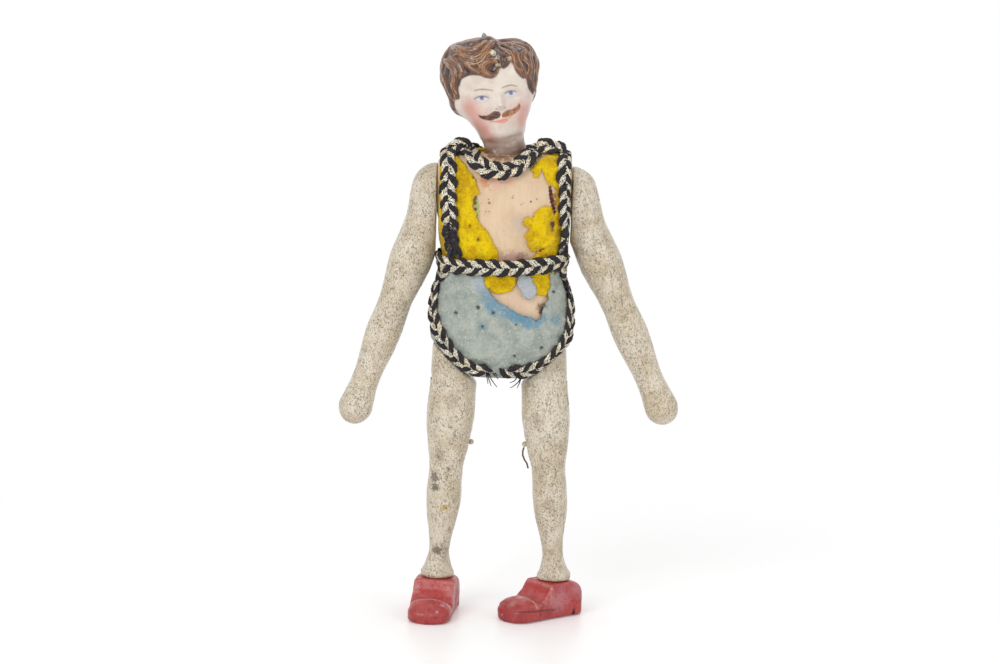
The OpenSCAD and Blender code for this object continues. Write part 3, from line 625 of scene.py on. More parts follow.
def shell(name, node, material, q, row, turn, gap, limit, depths, seed):
    """Closes a cut sheet: its two faces, and the rim between them."""
    rows, columns = q.shape
    quads = grid_faces(rows, columns)
    flat_gap = gap.ravel()
    quads = quads[(flat_gap[quads] < RIM_REACH).all(axis=1)]
    edges = np.concatenate([quads[:, [k, (k + 1) % 4]] for k in range(4)])
    key = edges.min(axis=1) * q.size + edges.max(axis=1)
    _, first, count = np.unique(key, return_index=True, return_counts=True)
    rim = edges[first[count == 1]]
    border = np.zeros(q.size, bool)
    border[rim.ravel()] = True
    d_row, d_col = np.gradient(gap)
    size = np.maximum(d_row**2 + d_col**2, 0.05)
    pull = np.where(border.reshape(q.shape), np.clip(gap / size, -MOST_PULL, MOST_PULL), 0)
    row = row + pull * -d_row * (row[1:2, :1] - row[:1, :1])
    column_step = q[0, 1] - q[0, 0]
    turn = turn + pull * -d_col * column_step
    edge = np.clip(-gap, 0, 2)
    round_off = np.sqrt(np.clip(1 - (1 - np.clip(edge / FELT_ROUND, 0, 1)) ** 2, 0, 1))
    chart_mm = np.stack([q * GIRTH_SCALE, row * ROW_SCALE], axis=-1)
    bumps = LUMPS * rough(chart_mm, 3.1, seed + 20) + FINE_LUMPS * LUMPS * rough(chart_mm, 0.9, seed + 23)
    thick = depths[1] - depths[0]
    puff = np.zeros(q.shape)
    for px, py, radius, height in VEST_PUFFS if name == "felt_vest_front" else ():
        away = wrap(turn, row, np.full(q.shape, depths[1])) - EYE
        beside = np.linalg.norm(np.cross(away, ray_of(px, py)), axis=-1)
        beside = beside + 0.5 * rough(chart_mm, 2.2, seed + 30)
        puff = np.maximum(puff, height * np.exp(-(beside / radius) ** 2))
    puff = puff * (1 + 0.5 * rough(chart_mm, 1.3, seed + 33)) * np.clip(edge / PUFF_EDGE, 0, 1)
    top = depths[0] + thick * (FELT_FOOT + FELT_BODY * round_off) + bumps * np.clip(edge, 0, 1) + puff
    spare = VEST_SPARE * (depths[0] < 1)
    outer = keep_clear(wrap(turn, row, np.minimum(top, depths[1] + spare + puff)), FELT_GAP)
    inner = keep_clear(wrap(turn, row, np.full(q.shape, depths[0])), FELT_GAP)
    used = np.unique(quads)
    index = np.full(q.size, -1)
    index[used] = np.arange(len(used))
    n = len(used)
    points = np.concatenate([outer.reshape(-1, 3)[used], inner.reshape(-1, 3)[used]])
    faces = np.concatenate([index[quads], index[quads][:, ::-1] + n,
                            np.stack([index[rim[:, 1]], index[rim[:, 0]], index[rim[:, 0]] + n,
                                      index[rim[:, 1]] + n], axis=1)])
    torn = np.where(limit > -1.5, UNCUT, -gap).ravel()[used]
    marks = {"edge": np.tile(np.exp(-np.clip(torn, 0, UNCUT) / 0.8), 2)}
    obj = add_mesh(name, points, faces, "torso", (node[0],), marks, material)
    obj["area"] = sum(p.area for p in obj.data.polygons) / 2
    return obj


VEST_LEFT_EDGE = [
    (453, 138), (458.6, 155.7), (464.5, 162.6), (469.5, 171.5), (477.4, 181.4), (477.9, 191.3),
    (471.5, 199.2), (472.4, 206.1), (475.4, 215), (480.4, 224.9), (488.3, 230.8), (492.2, 241.7),
    (497.2, 248.6), (498.6, 261.5), (507, 268), (516.8, 276), (516, 284), (510, 291), (502, 294.5),
    (494, 292), (487.3, 289), (478, 292), (460, 293), (440, 292)
]
VEST_RIGHT_EDGE = [
    (556, 140), (552.5, 148.8), (546.6, 155.7), (535.7, 163.6), (531.8, 169.5), (534.7, 175.5),
    (538.7, 176.5), (542.6, 169.5), (545.1, 173.5), (547.6, 181.4), (554.5, 185.4), (556.8, 187),
    (557.2, 200), (557, 209), (556.6, 214.5), (554.5, 215), (551.5, 206.1), (543.6, 205.6),
    (535.7, 211), (532.7, 219), (527.8, 216), (523.9, 219), (523.9, 224.9), (528.8, 229.8),
    (524.8, 236.8), (527.8, 246.6), (532.7, 251.6), (538.7, 252.6), (531.8, 259.5), (530, 268),
    (528.4, 276.6), (530, 288), (536, 294), (544, 296), (551, 293), (562, 295)
]
VEST_HOLES = [((553, 223.5), 0.9), ((552.4, 227), 0.7), ((541, 250.5), 0.55), ((543, 248.5), 0.4)]
VEST_PUFFS = [(541, 229, 2.2, 1.5), (533, 242, 1.9, 1.4), (546, 245, 2, 1.3), (544, 214, 1.5, 1.2),
              (528, 223, 1.2, 1.0), (531, 234, 1.5, 1.1), (553, 236, 1.6, 0.9), (538, 256, 1.5, 0.9),
              (470, 182, 2, 0.6), (473, 197, 1.6, 0.8), (464, 208, 2, 0.6), (479, 232, 1.5, 0.7),
              (484, 250, 1.8, 0.7), (464, 250, 2.2, 0.6), (545, 158, 1.8, 0.8), (553, 172, 1.7, 0.8)]
NECK_OPENING = 11.0
SIDE = 60.0


def vest_cut(front):
    """What is left of the vest: round the neck, and in front only its two torn sides."""
    left, right = charted(VEST_LEFT_EDGE), charted(VEST_RIGHT_EDGE)
    top = ROW_RUN[-1] + 5
    left = [(-SIDE, top)] + [(left[0][0], top)] + left.tolist() + [(-SIDE, left[-1][1])]
    right = [(SIDE, top)] + [(right[0][0], top)] + right.tolist() + [(SIDE, right[-1][1])]

    def cut(flat, p):
        around = np.hypot(p[..., 0] - MID_X, (p[..., 1] - MID_Y) * 1.25)
        collar = np.where(p[..., 2] > TORSO_TOP - 3, NECK_OPENING - around, -UNCUT)
        if not front:
            return np.maximum(collar, ROW_RUN[int(row_at(WAIST_Z - 8))] - flat[..., 1])
        return np.maximum(np.minimum(to_outline(flat, left), to_outline(flat, right)), collar)

    return cut


TRUNKS_TEAR = [
    (481, 258), (483, 272), (484, 281), (487, 288), (491, 296), (500, 304), (507, 307), (513, 310),
    (520, 313.5), (527, 316), (536, 320), (541, 317), (543, 311), (545, 307), (549, 296), (552, 284),
    (551, 276), (552, 258)
]
TRUNKS_FLAP = [
    (516, 262), (517.5, 279), (519, 288), (522, 296), (528, 300), (534, 298), (537, 290), (535, 282),
    (530, 276), (529, 262)
]
TRUNKS_HOLES = [((546.3, 306.6), 0.35), ((546.9, 309), 0.3)]


def trunks_cut(front):
    """What is left of the trunks: below the waist, and in front only round the tear, with its flap."""
    tear, flap = (charted(p, TRUNKS_LIFT).tolist() for p in (TRUNKS_TEAR, TRUNKS_FLAP))
    top = ROW_RUN[int(row_at(WAIST_Z + 1.6))]

    def cut(flat, p):
        gap = flat[..., 1] - top
        if front:
            torn = np.minimum(-to_outline(flat, tear), UNCUT)
            gap = np.maximum(gap, np.minimum(torn, to_outline(flat, flap)))
        return gap

    return cut


MARK_DEPTH = 6.0


def pixel_marks(obj, name, spots, lift):
    """Marks round spots given as pixel, radius in millimetres and strength."""
    co = np.array([v.co for v in obj.data.vertices]) / MM
    value = np.zeros(len(co))
    for px, py, radius, strength in spots:
        at = torso_hit(px, py, lift)
        d = np.linalg.norm(np.cross(co - EYE, ray_of(px, py)), axis=1)
        d = d + radius * 0.4 * rough(co, max(radius * 0.8, 0.4), 77)
        here = np.linalg.norm(co - at, axis=1) < MARK_DEPTH
        value = np.maximum(value, here * strength * (1 - smooth(d, radius * 0.5, radius * 1.2)))
    put_marks(obj.data, {name: value})


def felt_paint(name, deep, main, light, torn, extras):
    """Matted wool: mottled colour, short fibres, a fuzzy sheen and lighter torn edges."""
    p = Paint(name, roughness=0.95, sheen=0.12, specular=0.15)
    colour = p.mottle(deep, main, 5, 4, 0.35, 0.65)
    fibres = p.noise(0.8, 5, p.stretch(1, 1, 0.8), rough=0.8, warp=1.5)
    colour = p.mix(p.between(fibres, 0.5, 0.66), colour, linear(*light))
    colour = p.tint(colour, p.patches(0.9, 5, 0.52, 0.62, rough=0.8), 0.75, deep)
    colour = p.tint(colour, p.mark("edge"), p.patches(1.4, 3, 0.3, 0.6), torn)
    for key, rgb, strength in extras:
        share = p.maths("MULTIPLY", p.mark(key), strength)
        if strength < 0.9:
            share = p.maths("MULTIPLY", share, p.patches(0.7, 4, 0.28, 0.5))
        colour = p.mix(share, colour, linear(*rgb))
    lumps = p.maths("ADD", p.maths("MULTIPLY", p.noise(1.5, 3), 1.4), fibres)
    return p.finish(colour, lumps, NAP)


def lay_felts(kind, slot, material, rows, cut, depths, seed, holes, spots):
    """A felt at the front and one at the back. The holes and spots are the front's alone."""
    holes = [(chart(*at), radius) for at, radius in holes]
    for side in ("front", "back"):
        front = side == "front"
        node = f"{kind}_{side}"
        obj = felt("felt_" + node, (node, slot), material, rows, not front, cut(front), depths,
                   seed + front, holes if front else ())
        for key, rows_of_spots in spots.items():
            pixel_marks(obj, key, rows_of_spots if front else [], depths[1])


NAP = 0.09 * 4.5
VEST_SPOTS = {
    "stain": [(483, 181, 2.2, 0.9), (450.5, 262, 4, 0.35), (447, 222, 4.5, 0.5), (449, 212, 3, 0.5),
              (446, 240, 3, 0.5), (560, 197, 3.5, 0.9), (560, 206, 3, 0.8), (561, 188, 2, 0.8),
              (552, 222, 1.5, 0.5), (540, 250, 1.6, 0.5), (556, 152, 1.2, 0.6), (479, 239, 1.2, 0.5)],
    "pit": [(470, 226, 0.65, 1), (478.4, 239.7, 0.65, 1), (473.4, 177.4, 0.65, 1)],
}
TRUNKS_SPECKS = [
    (455.8, 312.7, 0.5), (477.9, 307.1, 0.55), (493.7, 312.9, 0.5), (526.8, 315.5, 0.4),
    (553.6, 291.8, 0.4), (541.5, 347.6, 0.42), (514.7, 355.5, 0.4), (516.3, 324.5, 0.35),
    (457.9, 268.7, 0.3), (467.9, 274.5, 0.3), (447.9, 271.8, 0.35), (482.6, 326.6, 0.35)
]
TRUNKS_SPOTS = {
    "spot": [(px, py, 1.5 * radius, 1) for px, py, radius in TRUNKS_SPECKS],
    "fresh": [(484, 286, 3, 0.5), (486, 296, 3.4, 0.6), (492, 303, 3.2, 0.8), (499, 307, 3.2, 0.85),
              (508, 311, 3, 0.9), (517, 315, 3.6, 1), (527, 318, 3.6, 1), (536, 320, 3.2, 0.9),
              (484, 279, 2.4, 0.5), (555.2, 319.7, 1.6, 0.8), (482, 326.6, 1.5, 0.6)],
    "pale": [(526, 289, 4.6, 1), (481, 284, 3.4, 0.6)],
}
yellow_felt = felt_paint("yellow_felt", (204, 156, 0), (248, 212, 0), (255, 236, 40), (238, 200, 30),
                         [("stain", (168, 112, 20), 0.7), ("pit", (130, 78, 20), 0.9)])
blue_felt = felt_paint("blue_felt", (154, 164, 157), (186, 192, 182), (218, 219, 205), (186, 189, 184),
                       [("fresh", (94, 152, 184), 0.85), ("pale", (196, 200, 212), 0.8),
                        ("spot", (58, 62, 60), 0.95)])
lay_felts("vest", "yellow_felt", yellow_felt, (int(row_at(WAIST_Z - 14)), ROWS - 3), vest_cut,
          (VEST_IN, VEST_OUT), 11, VEST_HOLES, VEST_SPOTS)
lay_felts("trunks", "blue_felt", blue_felt, (3, int(row_at(WAIST_Z + 3))), trunks_cut,
          (TRUNKS_IN, TRUNKS_OUT), 31, TRUNKS_HOLES, TRUNKS_SPOTS)


# Stage, lights and the CAD nodes' own materials

FLOOR_REACH, FLOOR_CELLS, FLOOR_DROP = 3.0, 24, 0.0001
FLOOR_GLOW, FLOOR_FADE = 0.12, 260
AMBIENT = 0.55
LAMPS = {"key": ((-0.55, -0.85, 0.75), 0.6, 0.34), "fill": ((0.8, -0.7, 0.35), 0.5, 0.14),
         "top": ((0.1, 0.2, 1.2), 0.8, 0.22)}
scene = bpy.context.scene
scene.view_settings.view_transform = "Standard"


def make_floor():
    """A pale floor that keeps the shadow, and turns plain white away from the figure."""
    side = np.linspace(-FLOOR_REACH, FLOOR_REACH, FLOOR_CELLS)
    x, y = np.meshgrid(side, side)
    z = np.full_like(x, -FLOOR_DROP)
    mesh = bpy.data.meshes.new("floor")
    points = np.stack([x, y, z], axis=-1).reshape(-1, 3)
    mesh.from_pydata(points.tolist(), [], grid_faces(FLOOR_CELLS, FLOOR_CELLS).tolist())
    floor = put_in_scene("floor", mesh)
    p = Paint("floor", roughness=0.35, specular=0.3)
    material = p.finish(linear(255, 255, 255), p.noise(6, 2), 0.01)
    glow = p.node("ShaderNodeEmission")
    path = p.node("ShaderNodeLightPath")
    p.put(p.maths("MULTIPLY", path.outputs["Is Camera Ray"], FLOOR_GLOW), glow.inputs["Strength"])
    both = p.node("ShaderNodeAddShader")
    p.put(p.shader.outputs[0], both.inputs[0])
    p.put(glow.outputs[0], both.inputs[1])
    white = p.node("ShaderNodeEmission")
    fade = p.node("ShaderNodeMixShader")
    p.put(p.near((MID_X, MID_Y, 0), FLOOR_FADE, 0.7), fade.inputs[0])
    p.put(white.outputs[0], fade.inputs[1])
    p.put(both.outputs[0], fade.inputs[2])
    p.put(fade.outputs[0], p.tree.nodes["Material Output"].inputs["Surface"])
    mesh.materials.append(material)


def make_world():
    """Plain white to look at, and a soft level of light."""
    world = bpy.data.worlds.new("studio")
    scene.world = world
    world.use_nodes = True
    tree = world.node_tree
    back = tree.nodes["Background"]
    back.inputs["Color"].default_value = (1, 1, 1, 1)
    path = tree.nodes.new("ShaderNodeLightPath")
    seen = path.outputs["Is Camera Ray"]
    for key in ("Is Glossy Ray", "Is Transmission Ray"):
        most = tree.nodes.new("ShaderNodeMath")
        most.operation = "MAXIMUM"
        tree.links.new(seen, most.inputs[0])
        tree.links.new(path.outputs[key], most.inputs[1])
        seen = most.outputs[0]
    level = tree.nodes.new("ShaderNodeMapRange")
    level.inputs["To Min"].default_value = AMBIENT
    level.inputs["To Max"].default_value = 1.0
    tree.links.new(seen, level.inputs["Value"])
    tree.links.new(level.outputs[0], back.inputs["Strength"])


def make_lamp(name, at, size, share):
    """A soft lamp that faces the figure and gives this share of full daylight there."""
    data = bpy.data.lights.new(name, "AREA")
    data.shape, data.size, data.size_y = "RECTANGLE", size, size
    lamp = put_in_scene(name, data)
    aim = Vector(AIM * MM)
    away = Vector(at) - aim
    data.energy = share * math.pi**2 * away.length_squared
    lamp.location = at
    lamp.rotation_euler = away.to_track_quat("Z", "Y").to_euler()


make_floor()
make_world()
for name, lamp in LAMPS.items():
    make_lamp(name, *lamp)


def node_tree_of(name):
    """A CAD node's surface in millimetres, for rays."""
    mesh = frame["nodes"][name].data
    points = [v.co / MM for v in mesh.vertices]
    return BVHTree.FromPolygons(points, [tuple(p.vertices) for p in mesh.polygons])


def dress(name, material, voxel=None, bumps=0.0, bump_size=None):
    """Gives a CAD node its material, and rounds off its facets, by sizes in millimetres."""
    obj = frame["nodes"][name]
    obj.data.materials.clear()
    obj.data.materials.append(material)
    if voxel:
        remesh = obj.modifiers.new("remesh", "REMESH")
        remesh.mode, remesh.voxel_size, remesh.use_smooth_shade = "VOXEL", voxel * MM, True
        ease = obj.modifiers.new("ease", "SMOOTH")
        ease.factor, ease.iterations = 0.5, 6
    if bumps:
        texture = bpy.data.textures.new(name + "_lumps", "CLOUDS")
        texture.noise_scale = bump_size * MM
        move = obj.modifiers.new("lumps", "DISPLACE")
        move.texture, move.strength, move.mid_level = texture, bumps * MM, 0.5
        move.texture_coords = "LOCAL"


def spots_on(name, pixels):
    """Places on a CAD node, from rows of pixel, radius, tint and strength."""
    tree = node_tree_of(name)
    return [(tuple(ray_hit(tree, px, py)), *rest) for px, py, *rest in pixels]


BROWN, DARK, GREY, DIRT = (120, 88, 58), (70, 54, 44), (140, 136, 128), (112, 96, 76)
PINK, OCHRE, OLIVE, RUST = (206, 150, 140), (200, 160, 60), (168, 170, 104), (150, 96, 40)
GAP, NECK_SHADE, FLUSH, PALE_WOOD = (74, 34, 20), (118, 80, 54), (226, 170, 150), (226, 196, 170)
LIMB_SPOTS = {
    "right_leg": [(445, 507, 1.3, OCHRE, 0.9), (449, 506, 0.8, OCHRE, 0.9), (441, 509, 0.8, OCHRE, 0.8),
                  (435, 487, 2.3, DIRT, 0.85), (437, 550, 2.3, DIRT, 0.85), (435, 477, 2.6, DIRT, 0.8),
                  (452, 400, 3.5, BROWN, 0.3), (440, 455, 3, BROWN, 0.4), (444, 559, 2, GREY, 0.3),
                  (448, 470, 1.2, BROWN, 0.4), (455, 436, 1.2, GREY, 0.5), (436, 520, 1.2, GREY, 0.4)],
    "left_leg": [(560, 462, 1.4, PINK, 0.5), (536, 420, 3, BROWN, 0.3), (548, 505, 3, BROWN, 0.35),
                 (552, 552, 1.6, BROWN, 0.35), (545, 440, 3, GREY, 0.25), (558, 425, 1.2, BROWN, 0.35),
                 (540, 478, 1, BROWN, 0.4), (553, 530, 1.2, GREY, 0.35)],
    "right_arm": [(405, 210, 3, BROWN, 0.2), (390, 290, 2.4, BROWN, 0.2), (365, 350, 2, GREY, 0.3)],
    "left_arm": [(605, 240, 3, BROWN, 0.2), (620, 300, 2, GREY, 0.25), (645, 360, 2.4, BROWN, 0.2)],
}


def wood_paint(name, spots):
    """Flesh paint worn thin over wood, with specks, stains, painted shade and a faint grain."""
    p = Paint(name, roughness=0.6, specular=0.3)
    colour = p.mottle((226, 200, 168), (216, 188, 156), 11, 3, 0.36, 0.64)
    grain = p.patches(1.3, 4, 0.48, 0.72, where=p.stretch(1, 1, 0.2))
    colour = p.tint(colour, grain, 0.3, (196, 160, 132))
    speck = p.patches(0.8, 3, 0.7, 0.75, rough=0.55)
    colour = p.tint(colour, speck, 0.8, (150, 112, 84))
    for spot in spots:
        ragged, soft = (1.6, 0.7) if spot[1] > WIDE_SPOT else (0.7, 0.4)
        colour = p.blots(colour, [spot], 1.2, ragged, soft)
    return p.finish(colour, p.maths("SUBTRACT", p.noise(2.5, 5), speck), 0.12, 0.6)


WIDE_SPOT = 2.2
# Spots of NECK_SHADE are painted shade under the head. The GAP rows, and the dark rows along the torn edges
# of the vest and the trunks and in the vest's holes, are brown glue in part and painted shade under the
# lifted felt in part.
CHEST_SPOTS = [
    (492, 156, 2.2, NECK_SHADE, 0.8), (499, 157, 2.4, NECK_SHADE, 0.8), (506, 157, 2.4, NECK_SHADE, 0.8),
    (514, 156, 2.2, NECK_SHADE, 0.75), (497, 161, 2, NECK_SHADE, 0.5), (508, 161, 2, NECK_SHADE, 0.5),
    (489.3, 203, 0.6, DARK, 0.6), (488.6, 199.5, 0.35, BROWN, 0.6), (512.5, 197.7, 0.5, BROWN, 0.5),
    (513.4, 195.6, 0.3, BROWN, 0.5), (530.8, 201.7, 0.5, DARK, 0.7), (536.7, 199.2, 0.4, BROWN, 0.6),
    (521.4, 204.6, 0.4, BROWN, 0.5), (524, 203, 0.3, BROWN, 0.4), (486, 211.6, 0.35, BROWN, 0.6),
    (489, 211.6, 0.35, BROWN, 0.6), (475.5, 201, 1.5, OLIVE, 0.9), (476.5, 206, 1.4, OLIVE, 0.9),
    (477, 211, 1.4, OLIVE, 0.8), (477, 216, 1.3, OLIVE, 0.8), (477, 221, 1.2, OLIVE, 0.8),
    (474, 198, 1.4, BROWN, 0.9), (475, 203, 0.8, DARK, 0.8), (475.5, 209, 0.7, DARK, 0.8),
    (476.5, 215, 0.6, DARK, 0.7), (484, 181, 3, (204, 130, 96), 0.8), (497, 180, 4, FLUSH, 0.6),
    (511, 179, 3, FLUSH, 0.5), (520, 224, 4.5, (190, 176, 164), 0.5), (512, 260, 5, (196, 150, 136), 0.8),
    (522, 259, 3.4, (150, 110, 100), 0.7), (500, 258, 2.5, (190, 140, 120), 0.6),
    (549.5, 184, 0.6, GAP, 0.8), (550, 187.5, 0.8, GAP, 0.9), (550.5, 191, 0.9, GAP, 1),
    (551, 194.5, 1, GAP, 1), (551.5, 198, 1.1, GAP, 1), (552.2, 201.5, 1.1, GAP, 1), (553, 205, 1, GAP, 1),
    (553.8, 208.5, 0.9, GAP, 1), (554.6, 212, 0.8, GAP, 1), (555.4, 215, 0.6, GAP, 1),
    (554, 196, 1.2, RUST, 0.7), (555, 203, 1.2, RUST, 0.7), (541, 250, 2.5, (120, 84, 60), 0.8),
    (553, 224, 1.8, DARK, 0.9), (545, 312, 3, BROWN, 0.9), (541, 308, 2.4, DARK, 0.7),
    (551, 284, 2, BROWN, 0.9), (520, 306, 5, (230, 196, 178), 0.5), (500, 300, 3, PALE_WOOD, 0.5),
    (488, 240, 2, (206, 180, 130), 0.5), (498, 252, 2, (200, 170, 120), 0.5),
]
LIMB_SHIFT = np.array([0.137, 0.051, 0.083])
PLUG_SHIFT = (0.31, 0.22, 0.17)
LIMB_VOXEL, LIMB_BUMPS, LIMB_BUMP_SIZE, PIN_VOXEL = 0.45, 0.35, 5.0, 0.12
dress("torso", wood_paint("flesh_wood", spots_on("torso", CHEST_SPOTS)))
for number, (name, marks) in enumerate(LIMB_SPOTS.items()):
    dress(name, limb_paint("paint_" + name, LIMB_SHIFT * number, spots_on(name, marks)),
          LIMB_VOXEL, LIMB_BUMPS, LIMB_BUMP_SIZE)


# Shoes: carved wood, painted red and worn to a dusty pink at the edges

SHOE_L, SHOE_HALF_W, SHOE_H, ANKLE_BACK = 32.0, 7.5, 12.3, 9.8
INSTEP_U, CREASE_U, CREASE_H, TOE_H = 16.4, 21.2, 6.75, 7.5
SOLE_BEND, WELT_Z, WELT_RISE, SLOT_U, SLOT_H = 3.0, 3.7, 0.06, 6.4, 2.8
HEEL_L, HEEL_POWER, TOE_U, TOE_L, TOE_POWER = 5, 2.4, 25.4, 6.6, 2.5
SOLE_POWER, HEEL_BOXY, INSTEP_BOXY = 7.0, 6, 8
SHOE_STEP, SHOE_COUNT, SHOE_FINE, PROFILE_SOFT = 0.28, 180, 720, 15
GROOVE_DEPTH, GROOVE_LENGTH = 0.05, 0.012
TOE_TURN = {"right_shoe": math.radians(7), "left_shoe": math.radians(50)}
GROOVE_SHARE = {"right_shoe": 0.25, "left_shoe": 1.0}
RIM_U = {"right_shoe": 25.2, "left_shoe": 23.4}
CAP_ROUND = {"right_shoe": 11.8, "left_shoe": 11.0}
# Height of the shoe's top at each distance from the heel
SHOE_TOP = np.array([
    (0, 6.6), (0.7, 8.4), (1.8, 10.1), (3.2, 11.3), (5, 12.0), (6.6, SHOE_H), (INSTEP_U - 0.4, SHOE_H),
    (INSTEP_U + 0.5, 11.6), (18.4, 8.9), (CREASE_U - 0.6, 7.0), (CREASE_U, CREASE_H),
    (CREASE_U + 0.8, 7.15), (23.6, TOE_H), (26.4, 7.3), (28.6, 6.5), (30.2, 5.3), (31.4, 3.9), (SHOE_L, 2.6)
])


def even_rings(x, z, count):
    """Closed outlines, a row each, with their points put at even steps."""
    rings = []
    for outline in np.stack([x, z], axis=-1):
        loop = np.concatenate([outline, outline[:1]])
        run = run_along(loop)
        rings.append(read_off(np.linspace(0, run[-1], count, endpoint=False), run, loop))
    return np.moveaxis(rings, -1, 0)


def shoe_rings(name):
    """A shoe's rings from the heel to the toe: length along it, place across it and height."""
    u = np.linspace(0.02, SHOE_L - 0.02, int(SHOE_L / SHOE_STEP))
    fine = np.linspace(0, SHOE_L, 640)
    kernel = np.hanning(PROFILE_SOFT) / np.hanning(PROFILE_SOFT).sum()
    top = np.pad(np.interp(fine, *SHOE_TOP.T), PROFILE_SOFT // 2, mode="edge")
    top = np.interp(u, fine, np.convolve(top, kernel, "valid"))
    heel = (1 - np.clip(1 - u / HEEL_L, 0, 1) ** HEEL_POWER) ** (1 / HEEL_POWER)
    toe = (1 - np.clip((u - TOE_U) / TOE_L, 0, 1) ** TOE_POWER) ** (1 / TOE_POWER)
    half = SHOE_HALF_W * heel * toe * (0.965 + 0.035 * smooth(np.abs(u - 14), 3, 9))
    boxy = HEEL_BOXY + INSTEP_BOXY * smooth(u, 5, 12)
    boxy = boxy - CAP_ROUND[name] * smooth(u, CREASE_U - 2, CREASE_U + 1.5)
    a = 2 * np.pi * np.arange(SHOE_FINE) / SHOE_FINE
    cosine, sine = np.cos(a)[None], np.sin(a)[None]
    power = np.where(sine > 0, boxy[:, None], SOLE_POWER)
    rise = np.where(sine > 0, (top - SOLE_BEND)[:, None], SOLE_BEND)
    x, z = half[:, None] * squared(cosine, power), SOLE_BEND + rise * squared(sine, power)
    x, z = even_rings(x, z, SHOE_COUNT)
    return np.broadcast_to(u[:, None], x.shape), x, z, half[:, None]


def make_shoe(name, material):
    """A shoe carved round its turn on the ankle, with marks where its paint is worn, and where shade is
    painted into its grooves.
    """
    u, x, z, half = shoe_rings(name)
    side = smooth(np.abs(x), 3, 6)
    welt = np.exp(-((z - WELT_Z - WELT_RISE * (u - 20)) / 0.32) ** 2)
    groove = welt * smooth(u, 12, 17) * side * GROOVE_SHARE[name]
    shrink = 1 - GROOVE_DEPTH * groove
    slot = np.clip(1.3 - np.abs(u - SLOT_U) / 0.5, 0, 1) * (z < SLOT_H)
    z = z + slot * (SLOT_H - z) * np.clip(1 - z / SLOT_H, 0, 1)
    cap = np.exp(-((u - RIM_U[name]) / 0.4) ** 2) * (z > 4.8)
    instep = np.exp(-((u - INSTEP_U - 0.3) / 0.4) ** 2) * (z > 10)
    corner = smooth(np.abs(x) / half, 0.86, 0.97) * smooth(z, 5, 6.4) * smooth(u, 15, 17)
    hollow = np.exp(-((u - CREASE_U) / 0.7) ** 2) * (z > 4.5)
    # The groove mark darkens the welt's groove, the heel's slot and the crease as painted shade.
    marks = {"rim": np.clip(1.3 * cap + 0.5 * instep + 0.35 * corner, 0, 1),
             "groove": np.clip(groove + 1.6 * slot + 0.4 * GROOVE_SHARE[name] * hollow, 0, 1),
             "top": smooth(z, 6.5, 9.5) * (1 - smooth(np.abs(x), 3, 6.5)), "toe": smooth(u, 28, 30.5)}
    local = np.stack([u, x, z], axis=-1)
    carve = 0.07 * rough(local, 3.0, 61) + 0.03 * rough(local, 0.9, 64)
    x = x * shrink + np.sign(x) * carve * (z > 0.3)
    z = np.clip(z + carve * 0.6 * (z > 4), 0.0, None)
    run = (u - 16) * (1 - GROOVE_LENGTH * groove) + 16 - ANKLE_BACK
    run = run + carve * smooth(u, 29, 31)
    ahead = np.array([-math.sin(TOE_TURN[name]), -math.cos(TOE_TURN[name])])
    aside = np.array([-ahead[1], ahead[0]])
    ankle = joint_at[name.replace("shoe", "ankle")]
    points = np.stack([ankle[k] + ahead[k] * run + aside[k] * x for k in (0, 1)] + [z], axis=-1)
    last = (len(points) - 1) * SHOE_COUNT
    faces = grid_faces(len(points), SHOE_COUNT, True)[:, ::-1].tolist()
    faces += [list(range(SHOE_COUNT)), [last + k for k in range(SHOE_COUNT)][::-1]]
    add_mesh("carved_" + name, points.reshape(-1, 3), faces, name, (name,), marks, material)


def shoe_paint(name, spots):
    """Red paint, dusty pink on worn rims, painted shade in the grooves, with grime and scratches."""
    p = Paint(name, roughness=0.5, coat=0.2)
    colour = p.mottle((178, 54, 52), (162, 42, 44), 6, 4, 0.42, 0.66)
    colour = p.tint(colour, p.mark("top"), 0.5, (184, 40, 40))
    colour = p.tint(colour, p.patches(2.6, 6, 0.47, 0.68, rough=0.75), 0.26, (200, 128, 124))
    colour = p.blots(colour, spots, lump=2.2, ragged=1.2, soft=0.9)
    colour = p.tint(colour, p.mark("toe"), 0.3, (150, 40, 46))
    patchy = p.maths("MULTIPLY", p.mark("rim"), p.patches(1.2, 4, 0.3, 0.55))
    colour = p.tint(colour, patchy, 0.75, (222, 170, 160))
    scratch = p.patches(0.6, 3, 0.62, 0.68, where=p.stretch(1, 0.25, 1))
    colour = p.tint(colour, scratch, 0.5, (120, 40, 44))
    # Painted shade in the grooves, the slot and the crease.
    colour = p.tint(colour, p.mark("groove"), 0.8, (84, 22, 28))
    gloss = p.between(p.noise(3), 0.4, 0.7, 0.32, 0.6)
    return p.finish(colour, p.maths("SUBTRACT", p.noise(1.8, 6), scratch), 0.22, gloss)


LILAC, DUSTY, DEEP_RED, WINE = (196, 146, 154), (200, 136, 134), (160, 28, 32), (150, 36, 42)
SHOE_SPOTS = {
    "right_shoe": [(430.5, 603, 2.4, WINE, 0.6), (431, 612, 2.4, WINE, 0.6),
                   (443, 582, 0.5, DARK, 0.6), (437, 612, 0.8, (224, 190, 176), 0.7),
                   (443, 605, 1.6, LILAC, 0.6),
                   (420, 612, 0.8, DARK, 0.6), (422, 616, 0.7, DARK, 0.6), (435.5, 618, 0.8, DARK, 0.8),
                   (430, 588, 4, DEEP_RED, 0.5), (414, 590, 3, DUSTY, 0.5), (450, 592, 3, DUSTY, 0.5)],
    "left_shoe": [(560, 600, 6.5, LILAC, 0.45), (578, 590, 4.5, LILAC, 0.4), (552, 585, 4.5, DEEP_RED, 0.55),
                  (524, 598, 3, (214, 162, 152), 0.6), (512, 606, 2.4, DUSTY, 0.6),
                  (505.4, 617.5, 0.7, DARK, 0.95), (502, 614.5, 0.6, (240, 226, 214), 0.9)],
}
for name, marks in SHOE_SPOTS.items():
    make_shoe(name, shoe_paint("paint_" + name, spots_on(name, marks)))


